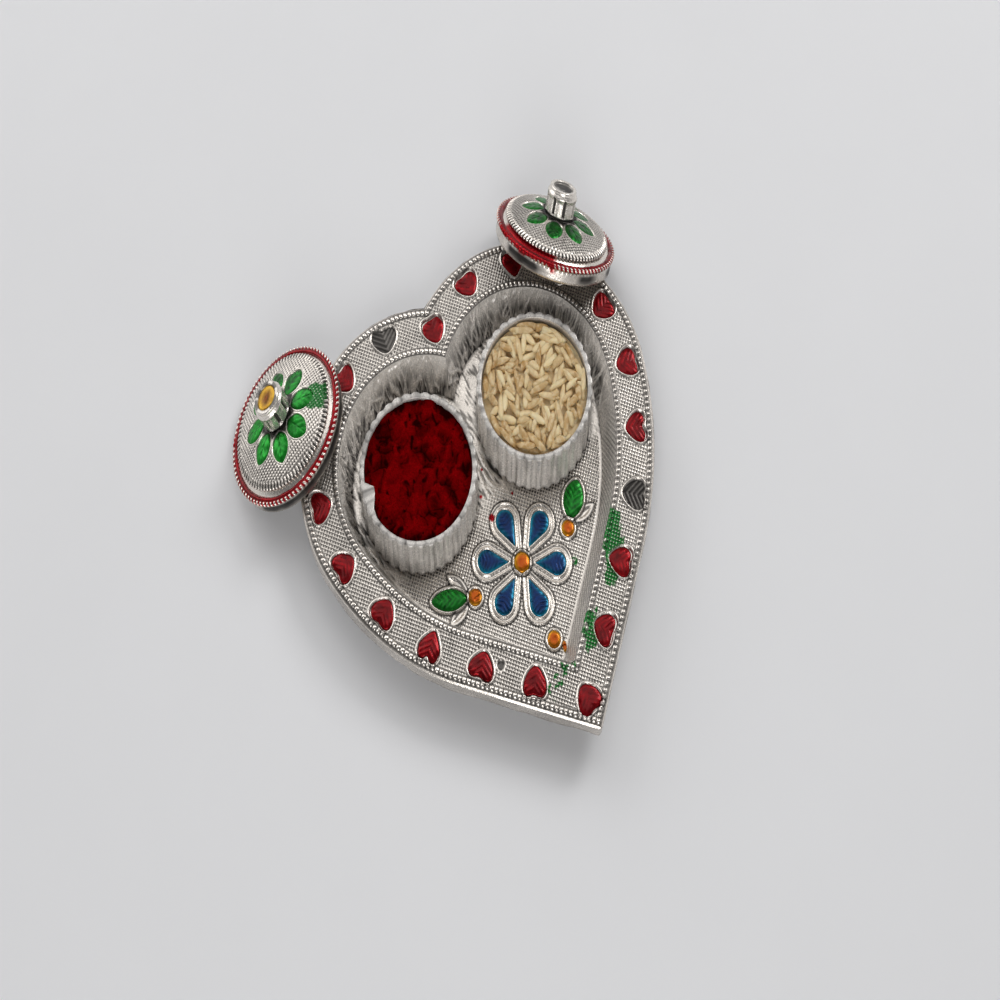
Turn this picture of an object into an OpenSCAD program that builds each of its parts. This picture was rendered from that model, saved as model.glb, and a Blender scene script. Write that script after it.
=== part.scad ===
// Heart-shaped kumkum plate: an enamelled white-metal tray with two fluted cups,
// one filled with kumkum and one with rice, and two knobbed lids that lean on the rim.
// Sizes are millimetres. The cups stand on the X axis, the heart's tip points along -Y,
// and the tray stands on the plane z = 0.

/* [Heart outline] */
// Distance of each lobe's centre from the heart's axis
lobe_x = 15.5; // [14.5:0.1:17]
// Distance of the lobes' centres ahead of the cups' line
lobe_y = 0.8; // [0:0.1:2]
// Radius of each lobe
lobe_r = 33.6; // [33:0.1:38]
// Radius of the long arc that leaves each lobe
side_r = 66; // [58:1:80]
// Angle below the lobe's own level where the long arc begins
side_turn = 14; // [10:1:18]
// Distance behind the cups' line where the straight sides meet
tip_reach = 65.5; // [63:0.5:75]
// Radius that blunts the tip
tip_round = 1; // [0.6:0.1:2]

/* [Tray] */
// Height of the flange's top above the table
plate_h = 10; // [9:0.5:13]
// Width of the flange
flange_w = 10.4; // [9:0.1:12]
// Thickness of the flange
flange_t = 1.2; // [0.8:0.1:2]
// Height of the lip that turns down round the flange
lip_h = 3.3; // [2:0.1:5]
// Thickness of that lip
lip_t = 1.1; // [0.8:0.1:2]
// Bevel along the flange's outer edge
edge_bevel = 0.4; // [0.2:0.1:0.8]
// How far the basin's wall leans in on its way to the floor
wall_lean = 3.2; // [1:0.1:3.6]
// Thickness of the basin's wall
wall_t = 1.3; // [0.8:0.1:2]
// Thickness of the basin's floor
floor_t = 1.5; // [1.2:0.1:2.5]
// Width of the raised borders on both edges of the flange
border_w = 1.1; // [0.6:0.1:1.5]
// Height of those borders
border_h = 0.4; // [0.2:0.1:0.8]
// Flat left between a border and its edge of the flange
border_margin = 0.3; // [0.1:0.1:0.6]

/* [Rim marks] */
// Number of heart-shaped pockets round the flange
mark_count = 20; // [16:2:22]
// Width of a pocket, along the rim
mark_w = 6.8; // [5:0.1:8]
// Length of a pocket, across the rim
mark_l = 5.6; // [4:0.1:6.4]
// Distance of the pockets' middle from the outer edge
mark_inset = 4.9; // [4.5:0.1:5.4]
// Depth of a pocket
mark_depth = 0.6; // [0.4:0.1:0.8]

/* [Flower] */
// Distance of the flower behind the cups' line
flower_reach = 25; // [23:0.5:27]
// Number of petals
petal_count = 6; // [5:1:7]
// Distance of a petal's root from the flower's centre
petal_root = 3.6; // [3.4:0.1:5]
// Distance from the tip of the petal that points at the tip bud to that bud's centre
petal_tip = 5.4; // [5:0.1:7]
// Width of a petal's enamel
petal_w = 4.8; // [3:0.1:5.2]
// Radius of the flower's centre
centre_r = 2.1; // [1.5:0.1:2.4]
// Distance of the side buds, along X, from the foot of the basin's wall
bud_x = 10; // [9.6:0.1:10.4]
// Distance of the tip bud from the tip of the basin's floor
tip_bud_reach = 5.1; // [4:0.1:6]
// Radius of a bud
bud_r = 1.4; // [1:0.1:1.6]
// Length of a leaf
leaf_l = 8; // [6:0.1:9]
// Width of a leaf
leaf_w = 3.6; // [2.5:0.1:4.5]
// Direction of the leaf on the kumkum cup's side, from +X
kumkum_leaf_turn = 156; // [145:1:165]
// Direction of the leaf on the rice cup's side, from +X
rice_leaf_turn = 46; // [35:1:55]
// Width of the raised outlines on the floor
ridge_w = 0.6; // [0.4:0.1:0.8]
// Height of those outlines
ridge_h = 0.5; // [0.3:0.1:0.8]
// Distance of the petals' outer outline from their enamel
outline_d = 1.2; // [1:0.1:1.3]
// Width of that outer outline
outline_w = 0.4; // [0.3:0.1:0.5]
// Height of that outer outline
outline_h = 0.3; // [0.2:0.1:0.5]

/* [Enamel] */
// Thickness of the enamel fills
enamel_t = 0.4; // [0.2:0.05:0.45]
// Gap between a fill and the edge round it
enamel_gap = 0.05; // [0.02:0.01:0.1]

/* [Cups] */
// Distance of each cup's centre from the heart's axis
cup_x = 17.8; // [17.6:0.1:18.4]
// Outer radius of a cup
cup_r = 15.8; // [15:0.1:16]
// Height of a cup above the tray's floor
cup_h = 11.1; // [9:0.1:13]
// Thickness of a cup's wall
cup_wall = 1.4; // [1:0.1:2]
// Thickness of a cup's floor
cup_floor = 1.2; // [1:0.1:2]
// Number of flutes round a cup
flute_count = 36; // [24:2:44]
// Radius of a flute
flute_r = 1.2; // [0.8:0.1:1.6]
// Depth of a flute
flute_depth = 0.35; // [0.2:0.05:0.5]

/* [Cup rivets] */
// Radius of the rivet's shank
rivet_r = 1.2; // [0.8:0.1:1.6]
// Radius of the rivet's two heads
rivet_head_r = 2.5; // [2:0.1:3.5]
// Thickness of those heads
rivet_head_t = 0.6; // [0.4:0.1:0.7]
// Gap round the shank and the heads
rivet_gap = 0.05; // [0.02:0.01:0.1]
// How far the lower head stays above the table
rivet_recess = 0.15; // [0.05:0.05:0.3]

/* [Contents] */
// Depth of the kumkum below the rim, at the cup's wall
kumkum_level = 1; // [0.5:0.1:4]
// Rise of the kumkum in the middle
kumkum_crown = 0.5; // [0.2:0.1:1.5]
// Depth of the rice bed below the rim, at the cup's wall
rice_level = 1.8; // [1.2:0.1:4]
// Rise of the rice bed in the middle
rice_crown = 0.5; // [0.2:0.1:1.5]
// Gap between the contents and the cup
fill_gap = 0.1; // [0.05:0.05:0.3]
// Length of a rice grain
grain_l = 5.6; // [5:0.1:6.5]
// Greatest radius of a rice grain
grain_r = 0.9; // [0.7:0.05:1]
// Number of grains in the rice's top layer
grain_count = 44; // [30:1:60]

/* [Lids] */
// Gap between the cup and the lid's skirt
lid_fit = 0.2; // [0.15:0.05:0.4]
// Thickness of the skirt
skirt_t = 0.5; // [0.4:0.1:0.8]
// Height of the skirt, up to the middle of its bead
skirt_h = 3; // [2.5:0.1:4.5]
// Radius of the bead round the top of the skirt
bead_r = 0.5; // [0.4:0.05:0.7]
// Height of the enamel band's floor above the middle of the bead
shelf_rise = 0.2; // [0:0.05:0.3]
// Thickness of the lid under the enamel band
shelf_t = 0.8; // [0.6:0.1:1.2]
// Width of the enamel band
band_w = 0.9; // [0.6:0.1:1.2]
// Radius of the raised disc
disc_r = 14.5; // [13:0.1:15]
// Height of the disc's upper edge above the middle of the bead
disc_rise = 1.7; // [1.5:0.1:2.5]
// Thickness of the disc's edge
disc_edge = 0.5; // [0.3:0.1:0.7]
// Width of the undercut below that edge
disc_undercut = 0.5; // [0.2:0.1:0.8]
// Rise of the dome above the disc's edge
dome_rise = 2.4; // [1.5:0.1:3]
// Power of the dome's curve: 1 gives a cone, and more gives a flatter middle
dome_curve = 1.5; // [1.2:0.1:2]
// Thickness of the dome
dome_t = 1.1; // [0.9:0.1:1.6]
// Number of enamel petals on a lid
lid_petal_count = 8; // [6:1:9]
// Distance of a lid petal's root from the knob's seat
lid_petal_root = 0.15; // [0.1:0.05:0.6]
// Distance of a lid petal's tip from the middle
lid_petal_tip = 10.2; // [9:0.1:11]
// Width of a lid petal
lid_petal_w = 4.3; // [3:0.1:4.6]
// Depth of a lid petal's pocket
lid_petal_depth = 0.45; // [0.45:0.05:0.6]

/* [Knobs] */
// Radius of a knob's post
knob_r = 4.2; // [3.8:0.1:4.6]
// Height of a knob
knob_h = 5.7; // [5.5:0.1:8]
// How far the foot and the cap stand back from the post
knob_collar = 0.5; // [0.3:0.1:0.7]
// Height of the foot
knob_foot_h = 0.5; // [0.3:0.1:0.7]
// Height of the cap, with the slope that leads up to it
knob_end_h = 1.2; // [0.8:0.1:1.4]
// Number of slots round a post
slot_count = 8; // [6:1:10]
// Width of a slot
slot_w = 1; // [0.6:0.1:1.2]
// Depth of a slot
slot_depth = 0.8; // [0.4:0.1:1]
// Land left between a slot's ends and the foot and cap
slot_land = 0.3; // [0.1:0.1:0.6]
// Radius of the dish in a knob's top
dish_r = 2.7; // [2.2:0.1:2.9]
// Depth of that dish
dish_depth = 0.6; // [0.5:0.05:0.8]
// Radius of the rivet that holds a knob
knob_rivet_r = 1; // [0.8:0.1:1.2]
// How far that rivet reaches into the knob
knob_rivet_reach = 4; // [3:0.1:4.2]

/* [Kumkum lid's lean] */
// Direction from the kumkum lobe's centre to the lid, from +X
kumkum_lean_place = 138.6; // [132:0.2:146]
// Turn of the lean away from that direction
kumkum_lean_twist = 1.6; // [-12:0.2:12]
// Angle round the skirt, from its inner side, where the flange's edge meets it
kumkum_lean_bite = 62; // [50:0.2:90]
// Turn of the kumkum lid round its own middle
kumkum_lid_turn = 22.5; // [0:0.5:45]

/* [Rice lid's lean] */
// Direction from the rice lobe's centre to the lid, from +X
rice_lean_place = 47; // [40:0.2:54]
// Turn of the lean away from that direction
rice_lean_twist = -7.6; // [-12:0.2:12]
// Angle round the skirt, from its inner side, where the flange's edge meets it
rice_lean_bite = 83.2; // [50:0.2:90]
// Turn of the rice lid round its own middle
rice_lid_turn = 6; // [0:0.5:45]

/* [Leaning lids] */
// Gap left between a leaning lid and the flange's edge
lean_gap = 0.3; // [0.2:0.05:0.5]
// Gap left between a leaning lid and the table
table_gap = 0.05; // [0.02:0.01:0.1]

/* [Hidden] */
$fn = 64;

metal = [0.80, 0.79, 0.77];
crimson = [0.45, 0.02, 0.04];
enamel_red = [0.62, 0.03, 0.06];
enamel_blue = [0.05, 0.30, 0.55];
enamel_green = [0.05, 0.45, 0.10];
enamel_amber = [0.85, 0.50, 0.05];
grain_cream = [0.86, 0.76, 0.56];

// Spare length that takes a cut clear through a face
cut = 1;

// Steps along the heart's lobes, side arcs and blunted tip, and along small arcs
lobe_steps = 26;
side_steps = 8;
tip_steps = 3;
arc_steps = 10;

// Places worked out for the heart
lobe_c = [lobe_x, lobe_y];
side_c = lobe_c - (side_r - lobe_r) * [cos(side_turn), -sin(side_turn)];
to_side = side_c + [0, tip_reach];
side_dir = atan2(to_side.y, to_side.x) - asin(side_r / norm(to_side));
side_end = side_dir - 90;

// Distances of the tray's outlines from its outer edge
basin_d = flange_w;
floor_d = basin_d + wall_lean;
inner_border_d = basin_d - border_margin - border_w;

// Places worked out for the cups and what they hold
floor_z = floor_t;
rim_z = floor_z + cup_h;
bore_r = cup_r - cup_wall;
fill_r = bore_r - fill_gap;
fill_z = floor_z + cup_floor;

// Sizes worked out for the lids
skirt_bore_r = cup_r + lid_fit;
skirt_r = skirt_bore_r + skirt_t;
shelf_z = skirt_h + shelf_rise;
ledge_z = shelf_z - shelf_t;
disc_z = skirt_h + disc_rise;
dome_z = disc_z + dome_rise;
seat_r = knob_r;
band_r = skirt_r - bead_r / 2;
lid_rivet_head_r = 2 * knob_rivet_r;

// Turn from one grain's place to the next, turn of each grain's own length, and its greatest tilt
golden_turn = 137.5;
grain_turn = 71;
grain_tilt = 14;

// Marks that carry no enamel, counted from the notch: one on each side
bare_marks = [-1, 7];

function turned(r, a) = r * [cos(a), sin(a)];

function arc(c, r, a0, a1, n) = [for (i = [0:n]) c + turned(r, a0 + (a1 - a0) * i / n)];

function mirrored(points) = [for (i = [len(points) - 1:-1:0]) [-points[i].x, points[i].y]];

function tail(points) = [for (i = [1:len(points) - 1]) points[i]];

function inner(points) = [for (i = [1:len(points) - 2]) points[i]];

// Height of the point where the straight sides meet, on the outline at distance d inside the edge
function tip_at(d) = -tip_reach + d / cos(side_dir);

// Angle round the lobe's centre where its outline reaches the heart's axis
function notch_at(d) = acos(-lobe_x / (lobe_r - d));

// Right half of the outline at distance d inside the edge, from the notch to the tip
function half_heart(d) = concat(
  arc(lobe_c, lobe_r - d, notch_at(d), -side_turn, lobe_steps),
  tail(arc(side_c, side_r - d, -side_turn, side_end, side_steps)),
  arc([0, tip_at(d + tip_round)], tip_round, side_end, -90, tip_steps)
);

function heart(d) = concat(half_heart(d), inner(mirrored(half_heart(d))));

// Half width of the basin's floor at the distance y ahead of the cups' line
function floor_half(y) =
  let (a = asin((y - side_c.y) / (side_r - floor_d)))
  a > side_end ? side_c.x + (side_r - floor_d) * cos(a) : (y - tip_at(floor_d)) / tan(side_dir);

// Places worked out for the flower: its buds, and how far the petals reach between them
side_bud_x = floor_half(-flower_reach) - bud_x;
tip_bud_y = tip_at(floor_d) + tip_bud_reach;
petal_reach = -flower_reach - tip_bud_y - petal_tip;

// Solid between the outline at distance d0 and height z0 and the outline at d1 and z1, upwards
module heart_loft(d0, z0, d1, z1) {
  n = len(heart(d0));
  low = [for (p = heart(d0)) [p.x, p.y, z0]];
  high = [for (p = heart(d1)) [p.x, p.y, z1]];
  sides = [for (i = [0:n - 1]) each [[i, (i + 1) % n, n + i], [(i + 1) % n, n + (i + 1) % n, n + i]]];
  caps = [[for (i = [n - 1:-1:0]) i], [for (i = [0:n - 1]) n + i]];
  polyhedron(concat(low, high), concat(sides, caps));
}

module heart_slab(d, z0, z1) {
  translate([0, 0, z0])
    linear_extrude(z1 - z0)
      polygon(heart(d));
}

module heart_band(d0, d1, z0, z1) {
  difference() {
    heart_slab(d0, z0, z1);
    heart_slab(d1, z0 - cut, z1 + cut);
  }
}

// Lengths of the lobe, the side arc and the straight side on the line of the rim marks
mark_lobe_l = (notch_at(mark_inset) + side_turn) / 180 * PI * (lobe_r - mark_inset);
mark_side_l = -(side_turn + side_end) / 180 * PI * (side_r - mark_inset);
mark_side_p = side_c + turned(side_r - mark_inset, side_end);
mark_line_l = norm(mark_side_p - [0, tip_at(mark_inset)]);
mark_path_l = mark_lobe_l + mark_side_l + mark_line_l;

// Place and inward direction of the point at length s along the right half of that line
function mark_on_lobe(s) =
  let (a = notch_at(mark_inset) - s / (lobe_r - mark_inset) * 180 / PI)
  [lobe_c + turned(lobe_r - mark_inset, a), a + 180];

function mark_on_side(s) =
  let (a = -side_turn - s / (side_r - mark_inset) * 180 / PI)
  [side_c + turned(side_r - mark_inset, a), a + 180];

function mark_on_line(s) = [mark_side_p - turned(s, side_dir), side_dir + 90];

function mark_at(s) =
  s < mark_lobe_l ? mark_on_lobe(s)
  : s < mark_lobe_l + mark_side_l ? mark_on_side(s - mark_lobe_l)
  : mark_on_line(s - mark_lobe_l - mark_side_l);

half_marks = mark_count / 2;

// Outline of a small heart with its tip along +Y, its middle at the origin, drawn in by gap
function small_heart(gap) =
  let (
    r = mark_w / 4,
    t = mark_l - r,
    turn = atan2(t, r),
    start = 2 * turn,
    tip_gap = gap / sin(90 - turn),
    half = concat(arc([r, 0], r - gap, -180, 180 - start, arc_steps), [[0, t - tip_gap]])
  )
  [for (p = concat(half, inner(mirrored(half)))) p - [0, mark_l / 2 - r]];

// Draws its children at the rim mark with number i; those with a number below zero lie on the left
module at_mark(i) {
  spot = mark_at(mark_path_l * abs(i) / half_marks);
  x = i < 0 ? -spot[0].x : spot[0].x;
  straight = i == 0 ? -90 : abs(i) == half_marks ? 90 : spot[1];
  turn = i < 0 ? 180 - straight : straight;
  translate([x, spot[0].y, 0])
    rotate(turn - 90)
      children();
}

// Outline of a petal along +Y, with a pointed root and a round tip, drawn in by gap. A petal no longer
// than it is wide is round all over.
function petal(root, tip, w, gap) =
  let (c = [0, tip - w / 2], r = w / 2)
  c.y - root > r ? pointed_petal(c, r, asin(r / (c.y - root)), gap) : arc(c, r - gap, -90, 270, arc_steps);

function pointed_petal(c, r, half_angle, gap) =
  concat([[0, c.y - (r - gap) / sin(half_angle)]], arc(c, r - gap, -half_angle, 180 + half_angle, arc_steps));

// Outline of a leaf of length l and width w along +X, from its root at the origin, drawn in by gap
function leaf(l, w, gap) =
  let (
    r = (l ^ 2 + w ^ 2) / (4 * w),
    low_c = [l / 2, w / 2 - r],
    high_c = [l / 2, r - w / 2],
    a = acos((r - w / 2) / (r - gap))
  )
  concat(
    arc(low_c, r - gap, 90 - a, 90 + a, arc_steps),
    inner(arc(high_c, r - gap, 270 - a, 270 + a, arc_steps))
  );

module flower_petals(gap) {
  for (i = [0:petal_count - 1])
    rotate(i * 360 / petal_count)
      polygon(petal(petal_root, petal_reach, petal_w, gap));
}

module leaf_pair(gap) {
  leaf_root = bud_r + ridge_w + enamel_gap;
  for (spot = [[-1, kumkum_leaf_turn], [1, rice_leaf_turn]])
    translate([spot[0] * side_bud_x, -flower_reach, 0])
      rotate(spot[1])
        translate([leaf_root + ridge_w, 0])
          polygon(leaf(leaf_l, leaf_w, gap));
}

module at_buds() {
  for (x = [-side_bud_x, side_bud_x])
    translate([x, -flower_reach])
      children();
  translate([0, tip_bud_y])
    children();
}

// Raised outline of height h: the children's second shape is taken out of the first
module floor_ridge(h) {
  translate([0, 0, floor_z - floor_t / 2])
    linear_extrude(floor_t / 2 + h)
      difference() {
        children(0);
        children(1);
      }
}

module flower_ridges() {
  translate([0, -flower_reach, 0]) {
    floor_ridge(ridge_h) {
      flower_petals(-ridge_w);
      flower_petals(0);
    }
    floor_ridge(outline_h) {
      flower_petals(-outline_d - outline_w);
      union() {
        flower_petals(-outline_d);
        circle(centre_r + ridge_w);
      }
    }
    floor_ridge(ridge_h) {
      circle(centre_r + ridge_w);
      circle(centre_r);
    }
  }
  floor_ridge(ridge_h) {
    at_buds() circle(bud_r + ridge_w);
    at_buds() circle(bud_r);
  }
  floor_ridge(ridge_h) {
    leaf_pair(-ridge_w);
    leaf_pair(0);
  }
}

module rim_pockets() {
  for (i = [1 - half_marks:half_marks])
    at_mark(i)
      translate([0, 0, plate_h - mark_depth])
        linear_extrude(mark_depth + cut)
          polygon(small_heart(0));
}

module at_cups() {
  for (x = [-cup_x, cup_x])
    translate([x, 0, 0])
      children();
}

module heart_tray() {
  lean_per_z = wall_lean / (plate_h - floor_z);
  color(metal)
    difference() {
      union() {
        difference() {
          union() {
            heart_slab(0, plate_h - flange_t, plate_h - edge_bevel);
            heart_loft(0, plate_h - edge_bevel, edge_bevel, plate_h);
            heart_band(0, lip_t, plate_h - lip_h, plate_h - flange_t / 2);
            heart_loft(floor_d - wall_t, 0, basin_d - wall_t, plate_h - flange_t / 2);
            heart_band(border_margin + edge_bevel, border_margin + edge_bevel + border_w,
              plate_h - flange_t / 2, plate_h + border_h);
            heart_band(inner_border_d, inner_border_d + border_w,
              plate_h - flange_t / 2, plate_h + border_h);
          }
          heart_loft(floor_d, floor_z, basin_d - cut * lean_per_z, plate_h + cut);
        }
        flower_ridges();
      }
      rim_pockets();
      at_cups() {
        cylinder(r = rivet_r + rivet_gap, h = 2 * floor_t, center = true);
        cylinder(r = rivet_head_r + rivet_gap, h = 2 * (rivet_recess + rivet_head_t), center = true);
        cylinder(r = rivet_r + rivet_gap, h = floor_t + cut);
      }
    }
}

// Cup with a fluted outside, its floor on the tray's floor
module cup() {
  translate([0, 0, floor_z])
    difference() {
      cylinder(r = cup_r, h = cup_h);
      translate([0, 0, cup_floor])
        cylinder(r = bore_r, h = cup_h);
      translate([0, 0, -cut])
        cylinder(r = rivet_r + rivet_gap, h = cup_floor + 2 * cut);
      for (i = [0:flute_count - 1])
        rotate(i * 360 / flute_count)
          translate([cup_r + flute_r - flute_depth, 0, -cut])
            cylinder(r = flute_r, h = cup_h + 2 * cut);
    }
}

module kumkum_cup() {
  color(metal)
    translate([-cup_x, 0, 0])
      cup();
}

module rice_cup() {
  color(metal)
    translate([cup_x, 0, 0])
      cup();
}

// Rivet from the cup's floor, through the tray's floor, into the pocket below
module cup_rivet() {
  head_z = fill_z;
  color(metal) {
    translate([0, 0, rivet_recess])
      cylinder(r = rivet_head_r, h = rivet_head_t);
    translate([0, 0, rivet_recess + rivet_head_t / 2])
      cylinder(r = rivet_r, h = head_z - rivet_recess);
    translate([0, 0, head_z])
      cylinder(r = rivet_head_r, h = rivet_head_t);
  }
}

module kumkum_cup_rivet() {
  translate([-cup_x, 0, 0])
    cup_rivet();
}

module rice_cup_rivet() {
  translate([cup_x, 0, 0])
    cup_rivet();
}

// Fill of a cup, with a crown that rises from the level at the wall
module cup_fill(level, crown) {
  edge_z = rim_z - level;
  crown_r = (fill_r ^ 2 + crown ^ 2) / (2 * crown);
  crown_a = asin(fill_r / crown_r);
  top = arc([0, edge_z + crown - crown_r], crown_r, 90, 90 - crown_a, arc_steps);
  difference() {
    rotate_extrude()
      polygon(concat([[0, fill_z]], top, [[fill_r, fill_z]]));
    translate([0, 0, fill_z - cut])
      cylinder(r = rivet_head_r + fill_gap, h = rivet_head_t + fill_gap + cut);
  }
}

module kumkum_powder() {
  color(crimson)
    translate([-cup_x, 0, 0])
      cup_fill(kumkum_level, kumkum_crown);
}

// Plump six-sided grain along X, tapered to both ends, its middle at the origin
module grain() {
  rotate([0, 90, 0])
    hull() {
      cylinder(r = grain_r, h = grain_l * 0.4, center = true, $fn = 6);
      cylinder(r = grain_r * 0.4, h = grain_l, center = true, $fn = 6);
    }
}

// Bed of rice with its top layer of grains, which lie every way in a sunflower's spiral
module rice_grains() {
  grain_reach = fill_r - grain_l / 2;
  bed_z = rim_z - rice_level;
  color(grain_cream)
    translate([cup_x, 0, 0]) {
      cup_fill(rice_level, rice_crown);
      for (i = [0:grain_count - 1])
        let (r = grain_reach * sqrt((i + 0.5) / grain_count))
        rotate(i * golden_turn)
          translate([r, 0, bed_z + rice_crown * (1 - (r / fill_r) ^ 2) + grain_r / 2])
            rotate([0, grain_tilt * sin(i * golden_turn * 2), i * grain_turn])
              grain();
    }
}

module rim_heart_enamel() {
  color(enamel_red)
    for (i = [1 - half_marks:half_marks])
      if (len(search(i, bare_marks)) == 0)
        at_mark(i)
          translate([0, 0, plate_h - mark_depth])
            linear_extrude(enamel_t)
              polygon(small_heart(enamel_gap));
}

module petal_enamel() {
  color(enamel_blue)
    translate([0, -flower_reach, floor_z])
      linear_extrude(enamel_t)
        flower_petals(enamel_gap);
}

module flower_centre_enamel() {
  color(enamel_amber)
    translate([0, -flower_reach, floor_z])
      cylinder(r = centre_r - enamel_gap, h = enamel_t);
}

module bud_enamel() {
  color(enamel_amber)
    translate([0, 0, floor_z])
      at_buds()
        cylinder(r = bud_r - enamel_gap, h = enamel_t);
}

module leaf_enamel() {
  color(enamel_green)
    translate([0, 0, floor_z])
      linear_extrude(enamel_t)
        leaf_pair(enamel_gap);
}

// Height of the lid's dome at radius r, in the lid's own frame: its skirt stands on z = 0
function dome_at(r) =
  dome_z - dome_rise * ((max(r, seat_r) - seat_r) / (disc_r - seat_r)) ^ dome_curve;

dome_rs = [for (i = [0:arc_steps]) disc_r + (seat_r - disc_r) * i / arc_steps];

module lid_shell() {
  band_in_r = band_r - band_w;
  bead = arc([skirt_r, skirt_h], bead_r, -90, 90, arc_steps);
  slope_r = disc_r - disc_undercut;
  outside = concat(
    [[skirt_bore_r, 0], [skirt_r, 0]],
    bead,
    [[band_r, shelf_z + bead_r], [band_r, shelf_z], [band_in_r, shelf_z]],
    [[slope_r, disc_z - disc_edge - disc_undercut / 2], [disc_r, disc_z - disc_edge]],
    [for (r = dome_rs) [r, dome_at(r)]],
    [[0, dome_z]]
  );
  hollow_r = slope_r - dome_t;
  under_dome = [
    for (i = [0:arc_steps])
      let (r = seat_r + (hollow_r - seat_r) * i / arc_steps)
      [r, dome_at(r) - dome_t]
  ];
  inside = concat(
    [[0, dome_z - dome_t]],
    under_dome,
    [[hollow_r, ledge_z], [skirt_bore_r, ledge_z]]
  );
  rotate_extrude()
    polygon(concat(outside, inside));
}

// Space above the dome's surface, sunk below it by depth
module above_dome(depth) {
  surface = [for (r = dome_rs) [r, dome_at(r) - depth]];
  rotate_extrude()
    polygon(concat(surface, [[0, dome_z - depth], [0, dome_z + cut], [disc_r, dome_z + cut]]));
}

module lid_petals(gap) {
  root_r = seat_r + lid_petal_root;
  linear_extrude(dome_z + 2 * cut)
    for (i = [0:lid_petal_count - 1])
      rotate(i * 360 / lid_petal_count)
        translate([root_r, 0])
          polygon(leaf(lid_petal_tip - root_r, lid_petal_w, gap));
}

module lid() {
  color(metal)
    difference() {
      lid_shell();
      intersection() {
        lid_petals(0);
        above_dome(lid_petal_depth);
      }
      cylinder(r = knob_rivet_r + rivet_gap, h = dome_z + cut);
    }
}

module lid_band_enamel() {
  color(enamel_red)
    translate([0, 0, shelf_z])
      difference() {
        cylinder(r = band_r - enamel_gap, h = enamel_t);
        translate([0, 0, -cut])
          cylinder(r = band_r - band_w + enamel_gap, h = enamel_t + 2 * cut);
      }
}

module lid_petal_enamel() {
  color(enamel_green)
    intersection() {
      lid_petals(enamel_gap);
      difference() {
        above_dome(lid_petal_depth);
        above_dome(lid_petal_depth - enamel_t);
      }
    }
}

// Outline of a slot along +Y with round ends, between y0 and y1
function slot_outline(y0, y1) =
  let (r = slot_w / 2)
  concat(arc([0, y1 - r], r, 0, 180, arc_steps), arc([0, y0 + r], r, 180, 360, arc_steps));

// Slotted post on a narrower foot, with a cap whose top is dished
module lid_knob() {
  end_r = knob_r - knob_collar;
  knob_bore_r = knob_rivet_r + rivet_gap;
  knob_bore_h = knob_rivet_reach + rivet_gap;
  post_top = knob_h - knob_end_h;
  color(metal)
    translate([0, 0, dome_z])
      difference() {
        rotate_extrude()
          polygon([
            [knob_bore_r, 0], [end_r, 0], [end_r, knob_foot_h], [knob_r, knob_foot_h],
            [knob_r, post_top], [end_r, post_top + knob_collar], [end_r, knob_h],
            [dish_r, knob_h], [dish_r, knob_h - dish_depth], [0, knob_h - dish_depth],
            [0, knob_bore_h], [knob_bore_r, knob_bore_h]
          ]);
        for (i = [0:slot_count - 1])
          rotate((i + 0.5) * 360 / slot_count)
            translate([knob_r - slot_depth, 0, 0])
              rotate([90, 0, 90])
                linear_extrude(slot_depth + cut)
                  polygon(slot_outline(knob_foot_h + slot_land, post_top - slot_land));
      }
}

module lid_knob_enamel() {
  color(enamel_amber)
    translate([0, 0, dome_z + knob_h - dish_depth])
      cylinder(r = dish_r - enamel_gap, h = enamel_t);
}

// Rivet whose head lies under the dome and whose shank fills the knob's bore
module lid_knob_rivet() {
  under_z = dome_z - dome_t;
  color(metal) {
    translate([0, 0, under_z - rivet_head_t])
      cylinder(r = lid_rivet_head_r, h = rivet_head_t);
    translate([0, 0, under_z - rivet_head_t / 2])
      cylinder(r = knob_rivet_r, h = rivet_head_t / 2 + dome_t + knob_rivet_reach);
  }
}

// Tilt at which a skirt that stands on the table clears the flange's edge at the bite angle
function lean_tilt(bite) = asin((plate_h + border_h + lean_gap) / (skirt_r * (1 + cos(bite))));

// Distance from the lobe's centre at which the skirt meets the outline on the nearer side
function lean_reach(place, twist, bite) =
  let (
    in = skirt_r * cos(lean_tilt(bite)) * cos(bite),
    across = skirt_r * sin(bite),
    toward = turned(1, place),
    reaches = [
      for (way = [-1, 1])
        let (
          w = turned(-in, place + twist) + turned(way * across, place + twist + 90),
          along = toward * w
        )
        sqrt(lobe_r ^ 2 - w * w + along ^ 2) - along
    ]
  )
  max(reaches);

// Sets its children, drawn in the lid's own frame and turned in it, leaning on the lobe of the given side
module leaning(side, place, twist, bite, turn) {
  tilt = lean_tilt(bite);
  spot = [side * lobe_x, lobe_y] + turned(lean_reach(place, twist, bite), place);
  translate([spot.x, spot.y, skirt_r * sin(tilt) + table_gap])
    rotate([0, 0, place + twist])
      rotate([0, tilt, 0])
        rotate(turn)
          children();
}

module kumkum_lean() {
  leaning(-1, kumkum_lean_place, kumkum_lean_twist, kumkum_lean_bite, kumkum_lid_turn)
    children();
}

module rice_lean() {
  leaning(1, rice_lean_place, rice_lean_twist, rice_lean_bite, rice_lid_turn)
    children();
}

module kumkum_lid() {
  kumkum_lean() lid();
}

module kumkum_lid_band_enamel() {
  kumkum_lean() lid_band_enamel();
}

module kumkum_lid_petal_enamel() {
  kumkum_lean() lid_petal_enamel();
}

module kumkum_lid_knob() {
  kumkum_lean() lid_knob();
}

module kumkum_lid_knob_enamel() {
  kumkum_lean() lid_knob_enamel();
}

module kumkum_lid_knob_rivet() {
  kumkum_lean() lid_knob_rivet();
}

module rice_lid() {
  rice_lean() lid();
}

module rice_lid_band_enamel() {
  rice_lean() lid_band_enamel();
}

module rice_lid_petal_enamel() {
  rice_lean() lid_petal_enamel();
}

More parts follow.
